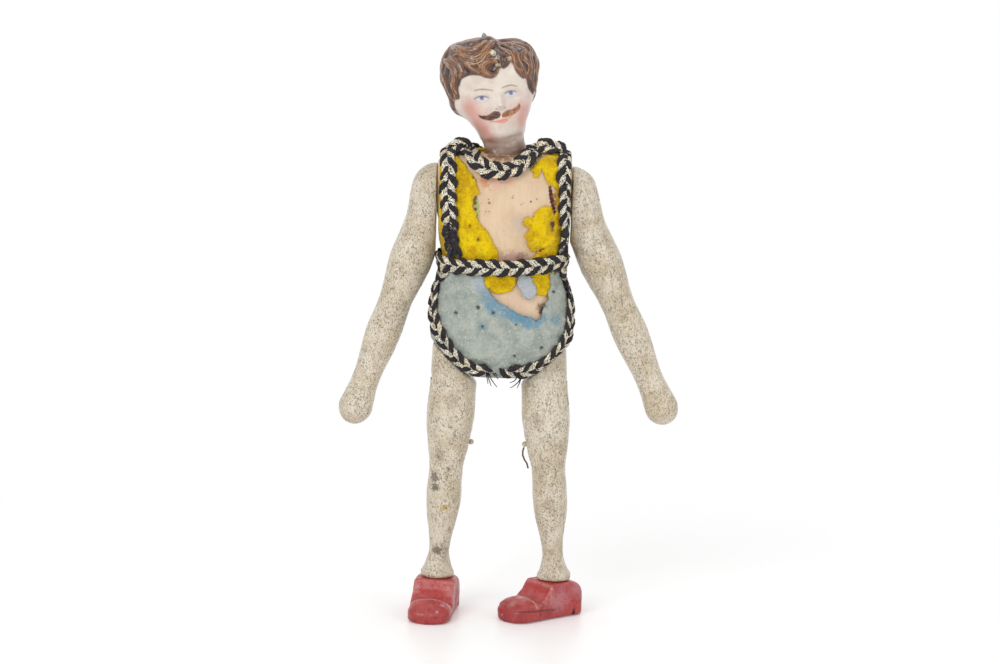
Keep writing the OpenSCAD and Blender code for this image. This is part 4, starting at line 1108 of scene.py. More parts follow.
def plain_finish(name, light, dark, roughness, size=0.6, metallic=0.0):
    """Two mottled tones with fine bumps, for pins, plugs, cords and threads."""
    p = Paint(name, roughness=roughness, metallic=metallic)
    colour = p.mottle(light, dark, size, 4, 0.4, 0.65)
    return p.finish(colour, p.noise(size * 0.6, 4), PLAIN_DEPTH)


PLAIN_DEPTH = 0.05
pin_metal = plain_finish("pin_metal", (150, 150, 150), (104, 100, 96), 0.35, 0.5, 1.0)
plug_wood = plain_finish("plug_wood", (196, 170, 130), (150, 120, 84), 0.7)
elastic = plain_finish("elastic", (205, 198, 180), (160, 150, 130), 0.9, 0.35)
ankle_thread = plain_finish("ankle_thread", (214, 202, 180), (170, 154, 126), 0.9, 0.35)
black_thread = plain_finish("black_thread", (34, 30, 34), (18, 16, 18), 0.8, 0.3)
brown_thread = plain_finish("brown_thread", (132, 92, 60), (88, 60, 40), 0.9, 0.3)
dress("crown_pin", pin_metal, PIN_VOXEL)
for node in ("right_arm_plug", "left_arm_plug", "right_leg_plug", "left_leg_plug"):
    dress(node, limb_paint("paint_" + node, PLUG_SHIFT, []))
for material, nodes in (
        (plug_wood, ("right_sole_plug", "left_sole_plug")),
        (elastic, ("neck_cord_upper", "neck_cord_middle", "neck_cord_lower", "shoulder_cord", "hip_cord")),
        (ankle_thread, ("right_ankle_cord", "left_ankle_cord")),
        (brown_thread, ("knee_thread",)), (black_thread, ("armhole_thread_knot",))):
    for node in nodes:
        dress(node, material)


# Flat braids: each stitch runs from an edge over to the middle, black loops ahead and tinsel behind

PLAIT_PITCH = 4.7
# A stitch's way: how far across, ahead and up
STITCH = [[1.7, -2.0, 0.3], [2.35, -1.5, 0.6], [2.1, -0.7, 0.98], [1.4, 0.1, 1.16], [0.6, 0.8, 1.1],
          [-0.35, 1.45, 0.5]]
# Each yarn's place ahead in its stitch, or across for the core, and its radius
BLACK_YARNS = ((0.35, 0.42), (1.0, 0.46), (1.65, 0.42))
TINSEL_YARNS = ((-0.15, 0.27), (-0.65, 0.3), (-1.15, 0.3), (-1.65, 0.3), (-2.15, 0.28))
CORE_YARNS = ((-1.2, 0.5), (-0.4, 0.5), (0.4, 0.5), (1.2, 0.5))
# Of a black yarn and of a tinsel one: reach, looseness, change in height and in thickness, and drop
YARN_HABITS = ((1.17, 0.17, 0.05, 0.24, 0), (0.93, 0.26, 0.14, 0.34, 0.08))
STITCH_POINTS, YARN_SIDES, PATH_STEP = 15, 6, 0.3
CORE_HEIGHT, BLACK_TAPER, MOOD = 0.42, 0.3, 0.12
THREAD_RADIUS, THREAD_TIP, THREAD_STEP = 0.26, 0.12, 0.5


def frame_along(path, outs):
    """Directions ahead, outward and across at each point of a path."""
    tangent = unit(np.gradient(path, axis=0))
    outs = unit(outs - (outs * tangent).sum(axis=1, keepdims=True) * tangent)
    return tangent, outs, np.cross(outs, tangent)


def tube(line, radius, sides=YARN_SIDES):
    """A tube's rings along a line, on a frame that doesn't twist."""
    line = np.asarray(line, float)
    tangent = unit(np.gradient(line, axis=0))
    up = np.zeros_like(line)
    up[0] = unit(np.cross(tangent[0], [0.3, 0.5, 0.81]))
    for k in range(1, len(line)):
        up[k] = up[k - 1] - tangent[k] * (up[k - 1] @ tangent[k])
        up[k] /= max(np.linalg.norm(up[k]), 1e-9)
    side = np.cross(tangent, up)
    a = 2 * np.pi * np.arange(sides) / sides
    radius = np.broadcast_to(radius, len(line))
    ring = np.cos(a)[None, :, None] * up[:, None] + np.sin(a)[None, :, None] * side[:, None]
    return line[:, None] + ring * radius[:, None, None]


def join_tubes(tubes):
    """All tubes' points and faces in one mesh, with their ends closed."""
    points, faces, base = [], [], 0
    for t in tubes:
        n, sides = t.shape[:2]
        points.append(t.reshape(-1, 3))
        faces += (grid_faces(n, sides, True) + base).tolist()
        faces += [[base + k for k in range(sides)][::-1], [base + (n - 1) * sides + k for k in range(sides)]]
        base += n * sides
    return np.concatenate(points), faces


def unworn(line):
    """No wear, for braids with all their tinsel."""
    return np.zeros(len(line))


def plait(name, node, paths, lift, seed, dull=unworn, threads=()):
    """Braids along one or more rows of surface points with their outward normals."""
    tubes, metal, fade = [], [], []

    def add(line, radius, shiny):
        tubes.append(tube(line, radius))
        metal.append(np.full(len(line) * YARN_SIDES, float(shiny)))
        fade.append(np.repeat(dull(line), YARN_SIDES))

    for number, (points, outs) in enumerate(paths):
        run = run_along(points)
        s = np.arange(0, run[-1], PATH_STEP)
        path, outs = read_off(s, run, points), read_off(s, run, outs)
        tangent, up, side = frame_along(path, outs)

        def place(at, across, height):
            middle, sideways, outward = (read_off(at, s, v) for v in (path, side, up))
            past, before = np.clip(at - s[-1], 0, None)[:, None], np.clip(at, None, 0)[:, None]
            spare = tangent[-1] * past + tangent[0] * before
            return middle + sideways * across[:, None] + outward * height[:, None] + spare

        for offset, radius in CORE_YARNS:
            waver = 0.15 * rough(np.stack([s, s * 0 + offset], axis=1), 2, seed + 8)
            add(place(s, offset + waver, s * 0 + lift + CORE_HEIGHT), radius * (1 + 0.8 * waver), False)
        keys = along(STITCH, np.linspace(0, len(STITCH) - 1, STITCH_POINTS))
        for stitch in range(int(2 * s[-1] / PLAIT_PITCH) + 1):
            hand = 1 if stitch % 2 else -1
            start = (stitch + 0.5) * PLAIT_PITCH / 2
            mood = rough(np.array([[start * 0.9, hand * 3.3 + number * 7.1]]), 3, seed)[0]
            sway = rough(np.array([[start * 1.1, hand * 5.3 + number * 4.1]]), 3, seed + 3)[0]
            for k, (offset, radius) in enumerate(BLACK_YARNS + TINSEL_YARNS):
                shiny = k >= len(BLACK_YARNS)
                reach, looseness, lift_change, thick_change, drop = YARN_HABITS[shiny]
                kink = np.stack([keys[:, 1] + start, keys[:, 0] + hand * 9 + k * 3.7], axis=1)
                loose = looseness * rough(kink, 0.8, seed + 2)
                across = keys[:, 0] * reach * (1 + MOOD * sway) + 0.7 * loose
                ahead = keys[:, 1] + offset * (1 + MOOD * mood) + 0.3 * sway + loose
                height = lift + keys[:, 2] + lift_change * rough(kink, 0.6, seed + 4) - drop
                thin = radius * (1 + thick_change * rough(kink, 0.6, seed + 6))
                if not shiny:
                    thin = thin * (1 - BLACK_TAPER * np.abs(np.linspace(-1, 1, STITCH_POINTS)) ** 3)
                add(place(start + ahead, hand * across, height), thin, shiny)
    for line in threads:
        line = resample(line, THREAD_STEP)
        waver = 0.12 * np.stack([rough(line, 1.6, seed + k) for k in range(3)], axis=1)
        add(line + waver, np.linspace(THREAD_RADIUS, THREAD_TIP, len(line)), False)
    points, faces = join_tubes(tubes)
    add_mesh(name, keep_clear(points, BRAID_GAP), faces, "torso", (node,),
             {"tinsel": np.concatenate(metal), "dull": np.concatenate(fade)}, braid_paint)


def make_braid_paint():
    """Black cotton yarn, and crinkled tinsel in silver and gold, worn dull in places, with painted glints and
    painted shade specks.
    """
    p = Paint("braid", roughness=0.6, specular=0.4)
    yarn = p.mottle((16, 14, 18), (58, 52, 56), 0.35, 3, 0.4, 0.7)
    yarn = p.mix(p.patches(2.2, 3, 0.55, 0.7), yarn, linear(58, 46, 36))
    # The tinsel's near-white flecks are painted glints, and its dark specks painted shade between the
    # crinkles; its gold patches are its own colour.
    tinsel = p.mottle((92, 80, 62), (255, 251, 234), 0.36, 2, 0.42, 0.51, rough=0.9)
    tinsel = p.mix(p.patches(1.6, 2, 0.5, 0.6), tinsel, linear(240, 222, 186))
    tinsel = p.mix(p.patches(0.42, 2, 0.56, 0.6, rough=0.9), tinsel, linear(66, 54, 44))
    bare = p.maths("MULTIPLY", p.mark("dull"), p.between(p.noise(1.1, 3), 0.3, 0.62, 1.25, 0.7))
    shown = p.maths("MULTIPLY", p.mark("tinsel"), p.maths("SUBTRACT", 1.0, bare, clamp=True), clamp=True)
    shown = p.between(shown, 0.25, 0.75)
    p.put(p.maths("MULTIPLY", shown, 0.35), p.shader.inputs["Metallic"])
    gloss = p.between(shown, 0.0, 1.0, 0.75, 0.3)
    return p.finish(p.mix(shown, yarn, tinsel), p.noise(0.28, 3, rough=0.8), 0.12, gloss)


braid_paint = make_braid_paint()


HIGH_LIFT, LOW_LIFT, SURFACE_STEP = 1.9, 2.9, 0.6
# Where the neck braid stands above the torso: its place in depth, from what height, and the way it faces
STAND_Y, STAND_FROM, STAND_DEPTH = 6.5, 0.4, 0.8
STAND_OUT = np.array([0, -0.8, 0.6])


def over_torso(px, py):
    """A place on the torso, or where a braid stands up above it, just in front of the shoulder line."""
    free = ray_point(px, py, MID_Y - STAND_Y)
    return free if free[2] > TORSO_TOP + STAND_FROM else torso_hit(px, py, HIGH_LIFT)


def surface_path(points, raised=False):
    """Drops points on the torso's surface and gives them with smoothed outward normals."""
    fine = resample(points, SURFACE_STEP)
    found = [torso_tree.find_nearest(Vector(p)) for p in fine]
    at, outs = (np.array([f[k] for f in found]) for k in (0, 1))
    if raised:
        up = smooth(fine[:, 2], TORSO_TOP - 0.8, TORSO_TOP + 1.6)[:, None]
        at = at * (1 - up) + (fine - STAND_OUT * (HIGH_BRAID_IN + STAND_DEPTH)) * up
        outs = unit(outs * (1 - up) + STAND_OUT * up)
    return at, unit(evened(outs, 7))


def mirrored(points):
    """The same row of points on the torso's back."""
    points = np.array(points, float)
    points[:, 1] = 2 * MID_Y - points[:, 1]
    return points


NECK_BRAID = [(452.5, 148), (457, 145), (463, 144.4), (468, 149.5), (473, 157), (480, 164.5),
              (489, 169.5), (500, 171), (511, 169.5), (520, 165), (528, 157), (535, 150.5), (541.5, 146.5),
              (549, 145.5), (556, 148)]
NECK_BACK_DROP = 0.75
neck_front = np.array([over_torso(*p) for p in NECK_BRAID])
neck_back = mirrored(neck_front)
neck_back[:, 2] = TORSO_TOP - NECK_BACK_DROP * (TORSO_TOP - neck_back[:, 2])
plait("plait_neck", "neck_braid", [surface_path(neck_front, raised=True), surface_path(neck_back[::-1])],
      HIGH_BRAID_IN, 50)

WAIST_BRAID = [(436.5, 258), (442, 262.3), (452, 265.3), (468, 267.3), (485, 268.2), (500, 268.5),
               (516, 268.2), (534, 266.8), (550, 264.6), (562, 262), (568, 258.5)]
waist_front = on_torso(WAIST_BRAID, LOW_LIFT)
waist_back = mirrored(waist_front)[1:-1]
half = len(waist_back) // 2
waist_ring = np.concatenate([waist_back[half::-1], waist_front, waist_back[:half - 1:-1]])
plait("plait_waist", "waist_braid", [surface_path(waist_ring)], LOW_BRAID_IN, 50)

RIGHT_ARMHOLE_BRAID = [(446.9, 150), (446.6, 156.6), (447, 174), (446, 186), (446.6, 200.5), (448.4, 212.8),
                       (448.2, 225), (448.7, 237), (451, 247), (452.8, 257)]
LEFT_ARMHOLE_BRAID = [(566.4, 150), (567, 155), (567, 169), (568.4, 182), (568.8, 195.4), (568, 205.6),
                      (569, 216.8), (568.5, 230), (566, 241), (564, 250), (562, 257)]
ARMHOLE_X, ARMHOLE_IN, ARMHOLE_TWIST, IN_FRONT = 20.7, 2.2, 0.65, 60
ARCH_H, ARCH_IN, ARCH_TURNS = 9, 0.1, np.radians([55, 28, 0, -28, -55])


def laid_flat(points, outs):
    """Turns an armhole braid to face forward, on its inner edge, where the torso's corner falls away."""
    forward = smooth(np.abs(outs[:, 1]), 0.35, 0.7)
    side = np.sign(points[:, 0] - MID_X)
    ahead = np.sign(points[:, 1] - MID_Y)
    points, outs = points.copy(), outs.copy()
    for k in np.flatnonzero(forward > 0):
        start = (points[k, 0] - side[k] * ARMHOLE_IN, MID_Y + ahead[k] * IN_FRONT, points[k, 2])
        inner = torso_tree.ray_cast(Vector(start), Vector((0, -ahead[k], 0)))[0]
        if inner is not None:
            points[k, 1] += forward[k] * (inner[1] - points[k, 1]) * ARMHOLE_TWIST
    outs[:, 0] *= 1 - forward * ARMHOLE_TWIST
    return evened(points, 9), unit(evened(outs, 9))


def over_shoulder(pixels):
    """An armhole braid's path: up the front, over the shoulder and down the back."""
    front = on_torso(pixels, HIGH_LIFT)
    front[:, 0] = MID_X + np.clip(front[:, 0] - MID_X, -ARMHOLE_X, ARMHOLE_X)
    x, y, z = front[0]
    depth = MID_Y - y
    arch = [(x + (MID_X - x) * ARCH_IN * math.cos(t), MID_Y - depth * math.sin(t), z + ARCH_H * math.cos(t))
            for t in ARCH_TURNS]
    return laid_flat(*surface_path(np.concatenate([front[::-1], arch, mirrored(front)])))


def low_down(height, most):
    """Wears the tinsel off below a height on the front."""
    def fade(line):
        front = smooth(MID_Y - line[:, 1], 0, 4)
        return most * front * (1 - smooth(line[:, 2], height - 6, height + 4))
    return fade


plait("plait_right_armhole", "right_armhole_braid", [over_shoulder(RIGHT_ARMHOLE_BRAID)], HIGH_BRAID_IN, 60,
      low_down(140, 0.9))
plait("plait_left_armhole", "left_armhole_braid", [over_shoulder(LEFT_ARMHOLE_BRAID)], HIGH_BRAID_IN, 70,
      low_down(134, 0.75))

RIGHT_LEG_BRAID = [(444.2, 269), (438.5, 276), (434.5, 289.7), (432.6, 303.4), (433.4, 317.1), (437.4, 330.8),
                   (445.3, 344.4), (454.7, 356.4), (465, 365.4), (475.5, 370), (485.5, 371)]
LEFT_LEG_BRAID = [(564.3, 269), (569, 279.2), (571.6, 292), (571.6, 307.6), (570.8, 320.2), (569.5, 331.8),
                  (565.3, 343), (557.9, 353), (547.3, 362.4), (535.8, 368.8), (523.1, 372), (509, 371)]
RIGHT_FRAYS = [[(488, 371), (490, 376), (493, 382), (497, 387)], [(487, 372), (489, 379), (491, 386)],
               [(488, 370), (493, 373), (498, 379)], [(486, 371), (487, 377), (488, 384)],
               [(488, 369), (494, 371), (497, 376)]]
LEFT_FRAYS = [[(521, 374), (519, 381), (515, 385), (510, 388)], [(522, 375), (520, 382), (517, 388)],
              [(518, 374), (515, 380), (510, 383)], [(509, 371), (506, 374), (503, 375)]]
FRAY_LIFT = 3.4


def hanging(pixels):
    """A loose thread in the plane of its first pixel on the trunks."""
    first = torso_hit(*pixels[0], FRAY_LIFT)
    return [ray_point(*q, first[1]) for q in pixels]


for name, node, pixels, seed, frays in (
        ("plait_right_leg", "right_leg_braid", RIGHT_LEG_BRAID, 80, RIGHT_FRAYS),
        ("plait_left_leg", "left_leg_braid", LEFT_LEG_BRAID, 90, LEFT_FRAYS)):
    front = on_torso(pixels, LOW_LIFT)
    plait(name, node, [surface_path(front), surface_path(mirrored(front)[::-1])], LOW_BRAID_IN, seed,
          threads=[hanging(f) for f in frays])


# Head: a moulded bisque head with its hair in relief and its face painted on

HAIR_W, HAIR_D, JAW_W, NECK_R = 34.8, 33.0, 22.0, 7.0
HEAD_TOP, BALL_R, CROWN_RISE = 39.4, NECK_R + 0.3, 0.5
HEAD_TILT, HEAD_TURN = math.radians(12.3), math.radians(3)
hair_x, hair_y = HAIR_W / 2, HAIR_D / 2
# Height, half width, half depth and how far forward
HEAD_KEYS = [
    [2, NECK_R, NECK_R, 0], [4.6, NECK_R + 0.2, NECK_R + 0.4, 0.1], [6.4, NECK_R + 0.9, NECK_R + 2.6, 2.1],
    [9.6, JAW_W / 2 - 2, hair_y - 4.6, 1.8], [14.2, JAW_W / 2 + 0.8, hair_y - 2.8, 0.6],
    [18.6, (JAW_W + HAIR_W) / 4 + 1, hair_y - 1.4, 0], [24, hair_x - 0.8, hair_y - 0.4, -0.4],
    [28.4, hair_x, hair_y, -0.6], [34.4, hair_x - 1.8, hair_y - 1.6, -0.4],
    [38, hair_x - 5.4, hair_y - 5, -0.2], [HEAD_TOP, hair_x - 11, hair_y - 10, 0],
]
HEAD_SQUARE, FACE_CROWDING = 2.15, 0.38
HEAD_ROWS, HEAD_COLUMNS = 262, 360
head_place = (Matrix.Translation(Vector(NECK_SEAT)) @ Matrix.Rotation(-HEAD_TILT, 4, "Y")
              @ Matrix.Rotation(HEAD_TURN, 4, "Z"))
HEAD_FRAME = np.array(head_place)


def head_grid():
    """The plain head in its own frame: a ball at the neck's end, rising to the crown."""
    ball = [[BALL_R * math.sin(a), BALL_R * math.cos(a), BALL_R * math.cos(a), 0]
            for a in np.linspace(-1.3, 0.12, 14)]
    wall = along(HEAD_KEYS, np.linspace(0, len(HEAD_KEYS) - 1, 400))
    crown = [[HEAD_TOP + CROWN_RISE * (1 - (r / 6.4) ** 2), r, r, 0] for r in np.linspace(6, 0.85, 12)]
    profile = np.array(ball + wall.tolist() + crown)
    run = summed(np.hypot(np.diff(profile[:, 0]), np.diff(profile[:, 1:3].mean(axis=1))))
    s = np.linspace(0, run[-1], HEAD_ROWS)
    z, w, d, forward = (np.interp(s, run, profile[:, k])[:, None] for k in range(4))
    u = 2 * np.pi * np.arange(HEAD_COLUMNS) / HEAD_COLUMNS - np.pi
    a = u - FACE_CROWDING * np.sin(u) - np.pi / 2
    x, y = w * squared(np.cos(a), HEAD_SQUARE), d * squared(np.sin(a), HEAD_SQUARE) - forward
    return np.stack([x, y, np.broadcast_to(z, x.shape)], axis=-1)


def grid_normals(grid):
    """Outward normals of a grid that closes on itself in each row."""
    across = np.roll(grid, -1, axis=1) - np.roll(grid, 1, axis=1)
    return unit(np.cross(across, np.gradient(grid, axis=0)))


def into_world(points):
    """Points in the head's own frame, moved to where the head sits."""
    return points @ HEAD_FRAME[:3, :3].T + HEAD_FRAME[:3, 3]


head_base = head_grid()
head_out = grid_normals(head_base)
head_faces = grid_faces(HEAD_ROWS, HEAD_COLUMNS, True)
head_tree = tree_of(into_world(head_base), head_faces)
from_world = np.linalg.inv(HEAD_FRAME)


def head_hit(px, py):
    """The place in the head's own frame that shows at a pixel of the photograph."""
    return from_world[:3, :3] @ np.array(ray_hit(head_tree, px, py)) + from_world[:3, 3]


def on_head(pixels):
    """A row of pixels on the head, in its own frame."""
    return np.array([head_hit(*q) for q in pixels])


def on_face(pixels):
    """The same, seen flat from the front."""
    return on_head(pixels)[:, [0, 2]]


# The hair's locks, each with its width
LOCKS = [
    (1.9, [(480.4, 40.2), (471.4, 43.3), (462.5, 44.2), (454.5, 46.9), (448.2, 52.7), (443.8, 59.8),
           (441.5, 67)]),
    (1.6, [(486.6, 42.9), (478.6, 48.2), (471.4, 50.9), (464.3, 50.9), (458, 49.1), (453.6, 48.2)]),
    (1.7, [(492.9, 42), (487.5, 48.2), (482.1, 54.5), (475, 58), (467, 58), (460.7, 54.5), (455.4, 54.5)]),
    (1.3, [(492.9, 51.8), (486.6, 55.4), (482.1, 61.6), (475, 64.3), (467.9, 62.5), (460.7, 59.8)]),
    (1.5, [(496.4, 62.5), (490.2, 60.7), (483.9, 64.3), (483, 69.6), (489.3, 75), (495.5, 75.9),
           (499.1, 71.4), (499.6, 67.9)]),
    (1.2, [(478.6, 64.3), (482.1, 69.6), (486.6, 75), (491.1, 77.4)]),
    (1.3, [(460.7, 58.9), (467, 64.3), (473.2, 69.6), (479.5, 73.2), (484.8, 76)]),
    (1.5, [(451.8, 58), (457.1, 62.5), (460.7, 67.9), (462.5, 73.2), (460.7, 77.7)]),
    (1.6, [(445.5, 60.7), (450.9, 65.2), (454.5, 71.4), (455.4, 78.6), (453.6, 85.7), (456.2, 92.9),
           (456.2, 98.2)]),
    (1.7, [(441.1, 67), (442, 75), (445.5, 82.1), (447.3, 89.3), (450.9, 95.5), (453.6, 100.9)]),
    (0.8, [(502.7, 55.4), (505.4, 53.6), (509.8, 54.5), (512.1, 58), (510.7, 61.6), (507.1, 62.5),
           (504.5, 60.7), (505.4, 58), (508, 57.6)]),
    (1.3, [(498.2, 42.9), (503.6, 48.2), (508.9, 52.7), (512.9, 58.9), (514.3, 65.2), (518.8, 71.4),
           (521.4, 76.8)]),
    (1.3, [(505.4, 42.9), (512.5, 48.2), (516.1, 54.5), (517.9, 60.7), (521.4, 67), (524.1, 73.2),
           (525, 77.7)]),
    (1.4, [(512.5, 42), (519.6, 45.5), (524.1, 50.9), (522.3, 56.2), (525, 60.7), (527.7, 66.1),
           (527.7, 73.2), (529.5, 80.4)]),
    (1.4, [(521.4, 42.9), (527.7, 46.4), (531.2, 52.7), (529.5, 58), (531.2, 63.4), (532.1, 71.4),
           (531.2, 78.6), (532.1, 87.5)]),
    (1.4, [(530.4, 48.2), (534.8, 56.2), (536.6, 64.3), (535.7, 71.4), (536.6, 78.6), (533.9, 86.6),
           (532.6, 92.9)]),
    (1.8, [(467.9, 42), (475, 39.3), (485.7, 37.9), (494.6, 38.4), (501.8, 41.1)]),
    (1.7, [(501.8, 41.1), (508.9, 40.6), (517, 40.2), (524.1, 42.9)]),
]
HAIRLINE = [
    (454.5, 100.9), (460.3, 99.1), (459.8, 92.9), (459.4, 87.5), (461.2, 83), (462.5, 79.5), (467, 76.8),
    (473.2, 75.7), (479.5, 75.9), (484.8, 77.9), (491.1, 79), (495.5, 77.7), (499.1, 73.2), (500.4, 68.8),
    (504.5, 68.6), (508.9, 65.6), (510.7, 62.9), (512.9, 66.1), (515.2, 71.4), (518.8, 75.9), (522.3, 78.6),
    (525.4, 79), (526.3, 83), (527.7, 89.3), (532.1, 95.1)
]
MOUSTACHE = [
    [(499.8, 112.4), (496.8, 111), (493, 112), (489.5, 114.2), (486, 115.4), (482.4, 115.2), (478.8, 114.2),
     (480.6, 117), (484, 119.4), (488.4, 120.6), (492.6, 120.2), (496.6, 118.6), (500, 117), (500.8, 114.6)],
    [(501.9, 114.8), (503.4, 112.6), (506.8, 110.4), (510.6, 109.4), (514.4, 107.6), (517.6, 104.8),
     (519.2, 102.6), (519.9, 105.6), (518, 110), (514.2, 113.8), (510, 116.2), (505.8, 117.4),
     (502.4, 117.2)],
]
UPPER_LIP = [(489.7, 121.6), (496.4, 121.4), (502, 119.8), (505.8, 119), (509, 118), (512, 116.6)]
LOWER_LIP = [(495.8, 121.6), (500.4, 121.9), (504.6, 121.4), (508, 119.6)]
BROWS = [[(473.7, 90.9), (478.6, 89.7), (483.5, 89.5), (488.8, 89.9), (493.3, 90.8)],
         [(500.9, 88.6), (505.4, 86.6), (510.7, 85.2), (515.2, 85.9), (517.9, 86.8)]]
LIDS = [[(474.1, 99.3), (477.2, 97.5), (481.2, 96.6), (485.7, 97), (488.6, 98)],
        [(504.5, 93.9), (508, 92), (511.6, 91.1), (514.7, 91.2), (517, 92)]]
IRISES = [(481.6, 98.3), (511.4, 93)]
# A painted shadow along the chin's underside.
CHIN_SHADOW_LINE = [(488, 139.5), (495, 142.6), (503, 143.2), (511, 141.6), (516, 138.5)]
NOSE_TIP, NOSTRILS = (500.6, 104.4), [(496.4, 108.5), (504.3, 107)]
BLUSH = [(478.8, 119.5, 3.3), (523.5, 110.7, 3.6), (469.5, 108, 3), (484, 131, 2.6), (524, 122, 2.4),
         (490, 140, 2)]
HAIR_CHIPS = [(493.5, 53, 1.2), (496.5, 57.5, 0.9), (498, 65.2, 0.85), (508.5, 58.8, 0.5)]
# The face's relief: height, places and size
NOSE_FORM = [(2.1, [NOSE_TIP], 1.35), (0.35, NOSTRILS, 0.9)]
FACE_FORM = [
    (-0.75, IRISES, 2.6), (0.42, IRISES, 1.25), (0.45, [(478.8, 116), (520, 110)], 3.2),
    (0.3, [(499, 121.5), (506, 120)], 1.5), (-0.35, [(502, 126.5)], 1.6), (0.55, [(500, 133.5)], 2.6),
]
BRIDGE_H, BRIDGE_W = 0.95, 1.1
HAIR_RISE, WAVE_H, WAVE_FOOT, GRAIN_H, CHIP_DEPTH = 0.35, 1.5, 0.66, 0.05, 0.25
WAVE_TURN, STRANDS_PER_WAVE, HAIR_GAUGE, LOCK_REACH = 11, 2.4, 0.8, 1.25
HAIR_STEP, STROKE_STEP, OUTLINE_STEP = 0.5, 0.3, 0.4
HAIR_SLOPE, EDGE_STRETCH, EDGE_RAGGED = 0.8, 1.25, 0.12
FACE_FROM, FACE_TO, FACE_DROP = 2, 6, 0.8
EYE_HALF_W, EYE_HALF_H, EYE_SINK = 2.3, 1.05, 0.25

# How far the hair's sides lie in from the even head at each height, and the crown
CROWN_DROP = 1.1
LEFT_SIDE_DROP = [(13, 0), (16, 1.1), (19, 2.2), (22, 1.9), (27, 1.5), (34, 1.5), (37, 1.9)]
RIGHT_SIDE_DROP = [(12.5, 0), (15, -0.9), (18, 0.2), (21, 1.0), (25, 1.0), (33, 0.6), (38, 0)]
CROWN_LEFT_DROP = 2.0


def side_drop(p, turn):
    """How far the hair's sides lie in from the even head, which the photograph's outline asks for."""
    beside = smooth(np.abs(turn), 45, 85) * (1 - smooth(np.abs(turn), 120, 165))
    left, right = (np.interp(p[..., 2], *np.array(keys).T) for keys in (LEFT_SIDE_DROP, RIGHT_SIDE_DROP))
    upper = smooth(p[..., 2], 32.5, 37.5) * smooth(p[..., 0], 1, 5)
    return np.maximum(beside * np.where(turn > 0, left, right), CROWN_LEFT_DROP * upper)


EDGE_AT_RIGHT = [(-180, 7.5), (-130, 10.5), (-95, 14.5), (-75, 17)]
EDGE_AT_LEFT = [(75, 17), (95, 14.5), (130, 10.5), (180, 7.5)]


def hair_edge():
    """Height of the hair's edge at each turn from the face's middle, in degrees."""
    line = on_head(HAIRLINE)
    turn = np.degrees(np.arctan2(line[:, 0], -line[:, 1]))
    seen = np.stack([turn, line[:, 2]], axis=1)[np.argsort(turn)]
    return np.concatenate([EDGE_AT_RIGHT, seen, EDGE_AT_LEFT]).T


def bumps_at(p, rows):
    """Bumps on the face, from rows of height, pixels and size."""
    total = np.zeros(p.shape[:-1])
    for height, pixels, size in rows:
        for x, z in on_face(pixels):
            total += height * np.exp(-((p[..., 0] - x) ** 2 + (p[..., 2] - z) ** 2) / size**2)
    return total


def spots_at(p, centres, near, far):
    """1 within near of the centres and 0 beyond far."""
    return sum(1 - smooth(np.linalg.norm(p - c, axis=-1), near, far) for c in centres)


def stroke(flat, pixels, width, taper=0.6):
    """A brush stroke along pixels: 1 on it, fading at its sides and its ends."""
    line = resample(on_face(pixels), STROKE_STEP)
    gap, where = to_line(flat, line)
    thin = width * (1 - taper * (2 * where / run_along(line)[-1] - 1) ** 2)
    return 1 - smooth(gap, thin * 0.45, thin)


def hair_locks(p):
    """The locks' swell and their grain, over the whole head, and where the locks lie."""
    swell, grain, lock = (np.zeros(p.shape[:-1]) for _ in range(3))
    for width, pixels in LOCKS:
        path = resample(on_head(pixels), HAIR_STEP)
        gap, where = to_line(p, path)
        share = np.clip(where / run_along(path)[-1], 0, 1)
        wide = width * (0.5 + 0.5 * np.sin(np.pi * share ** 0.8) ** 0.5)
        rise = np.clip(1 - (gap / (LOCK_REACH * wide)) ** 2, 0, 1) ** 0.8
        rise = rise * np.minimum(1, 0.55 + width * 0.3)
        hairs = np.cos(2 * np.pi * (gap / HAIR_GAUGE + 0.5 * rough(p, 2.0, 8)))
        grain = np.where(rise > swell, hairs, grain)
        lock = np.where(rise > swell, 1.0, lock)
        swell = np.maximum(swell, rise)
    return swell, grain, lock


def make_hair(p, turn):
    """Swell and grain of all the hair: locks in front, and combed waves at the sides and the back."""
    swell, grain, lock = hair_locks(p)
    wave = turn / WAVE_TURN + 0.8 * np.sin(p[..., 2] / 3.1 + 0.9 * rough(p, 11, 3)) + 0.4 * rough(p, 6, 4)
    strands = np.cos(2 * np.pi * (wave * STRANDS_PER_WAVE + 0.4 * rough(p, 2, 9)))
    behind = smooth(np.abs(turn), 62, 80)
    crown = smooth(np.hypot(p[..., 0], p[..., 1]), 1.5, 4.5)
    combed = np.abs(np.sin(np.pi * wave / 1.5)) ** 0.9 * (0.35 + 0.6 * behind)
    swell = np.maximum(swell, combed * crown)
    return swell, np.where((lock > 0) & (swell > combed), grain, strands * crown)


def make_face(p):
    """The face's relief, with the nose's bridge running up from its tip."""
    nose = head_hit(*NOSE_TIP)
    x, up = p[..., 0] - nose[0], p[..., 2] - nose[2]
    bridge = BRIDGE_H * np.exp(-(x / BRIDGE_W) ** 2) * smooth(up, -0.6, 0.6) * (1 - smooth(up, 2.5, 6.5))
    return bumps_at(p, NOSE_FORM) + bridge + bumps_at(p, FACE_FORM)


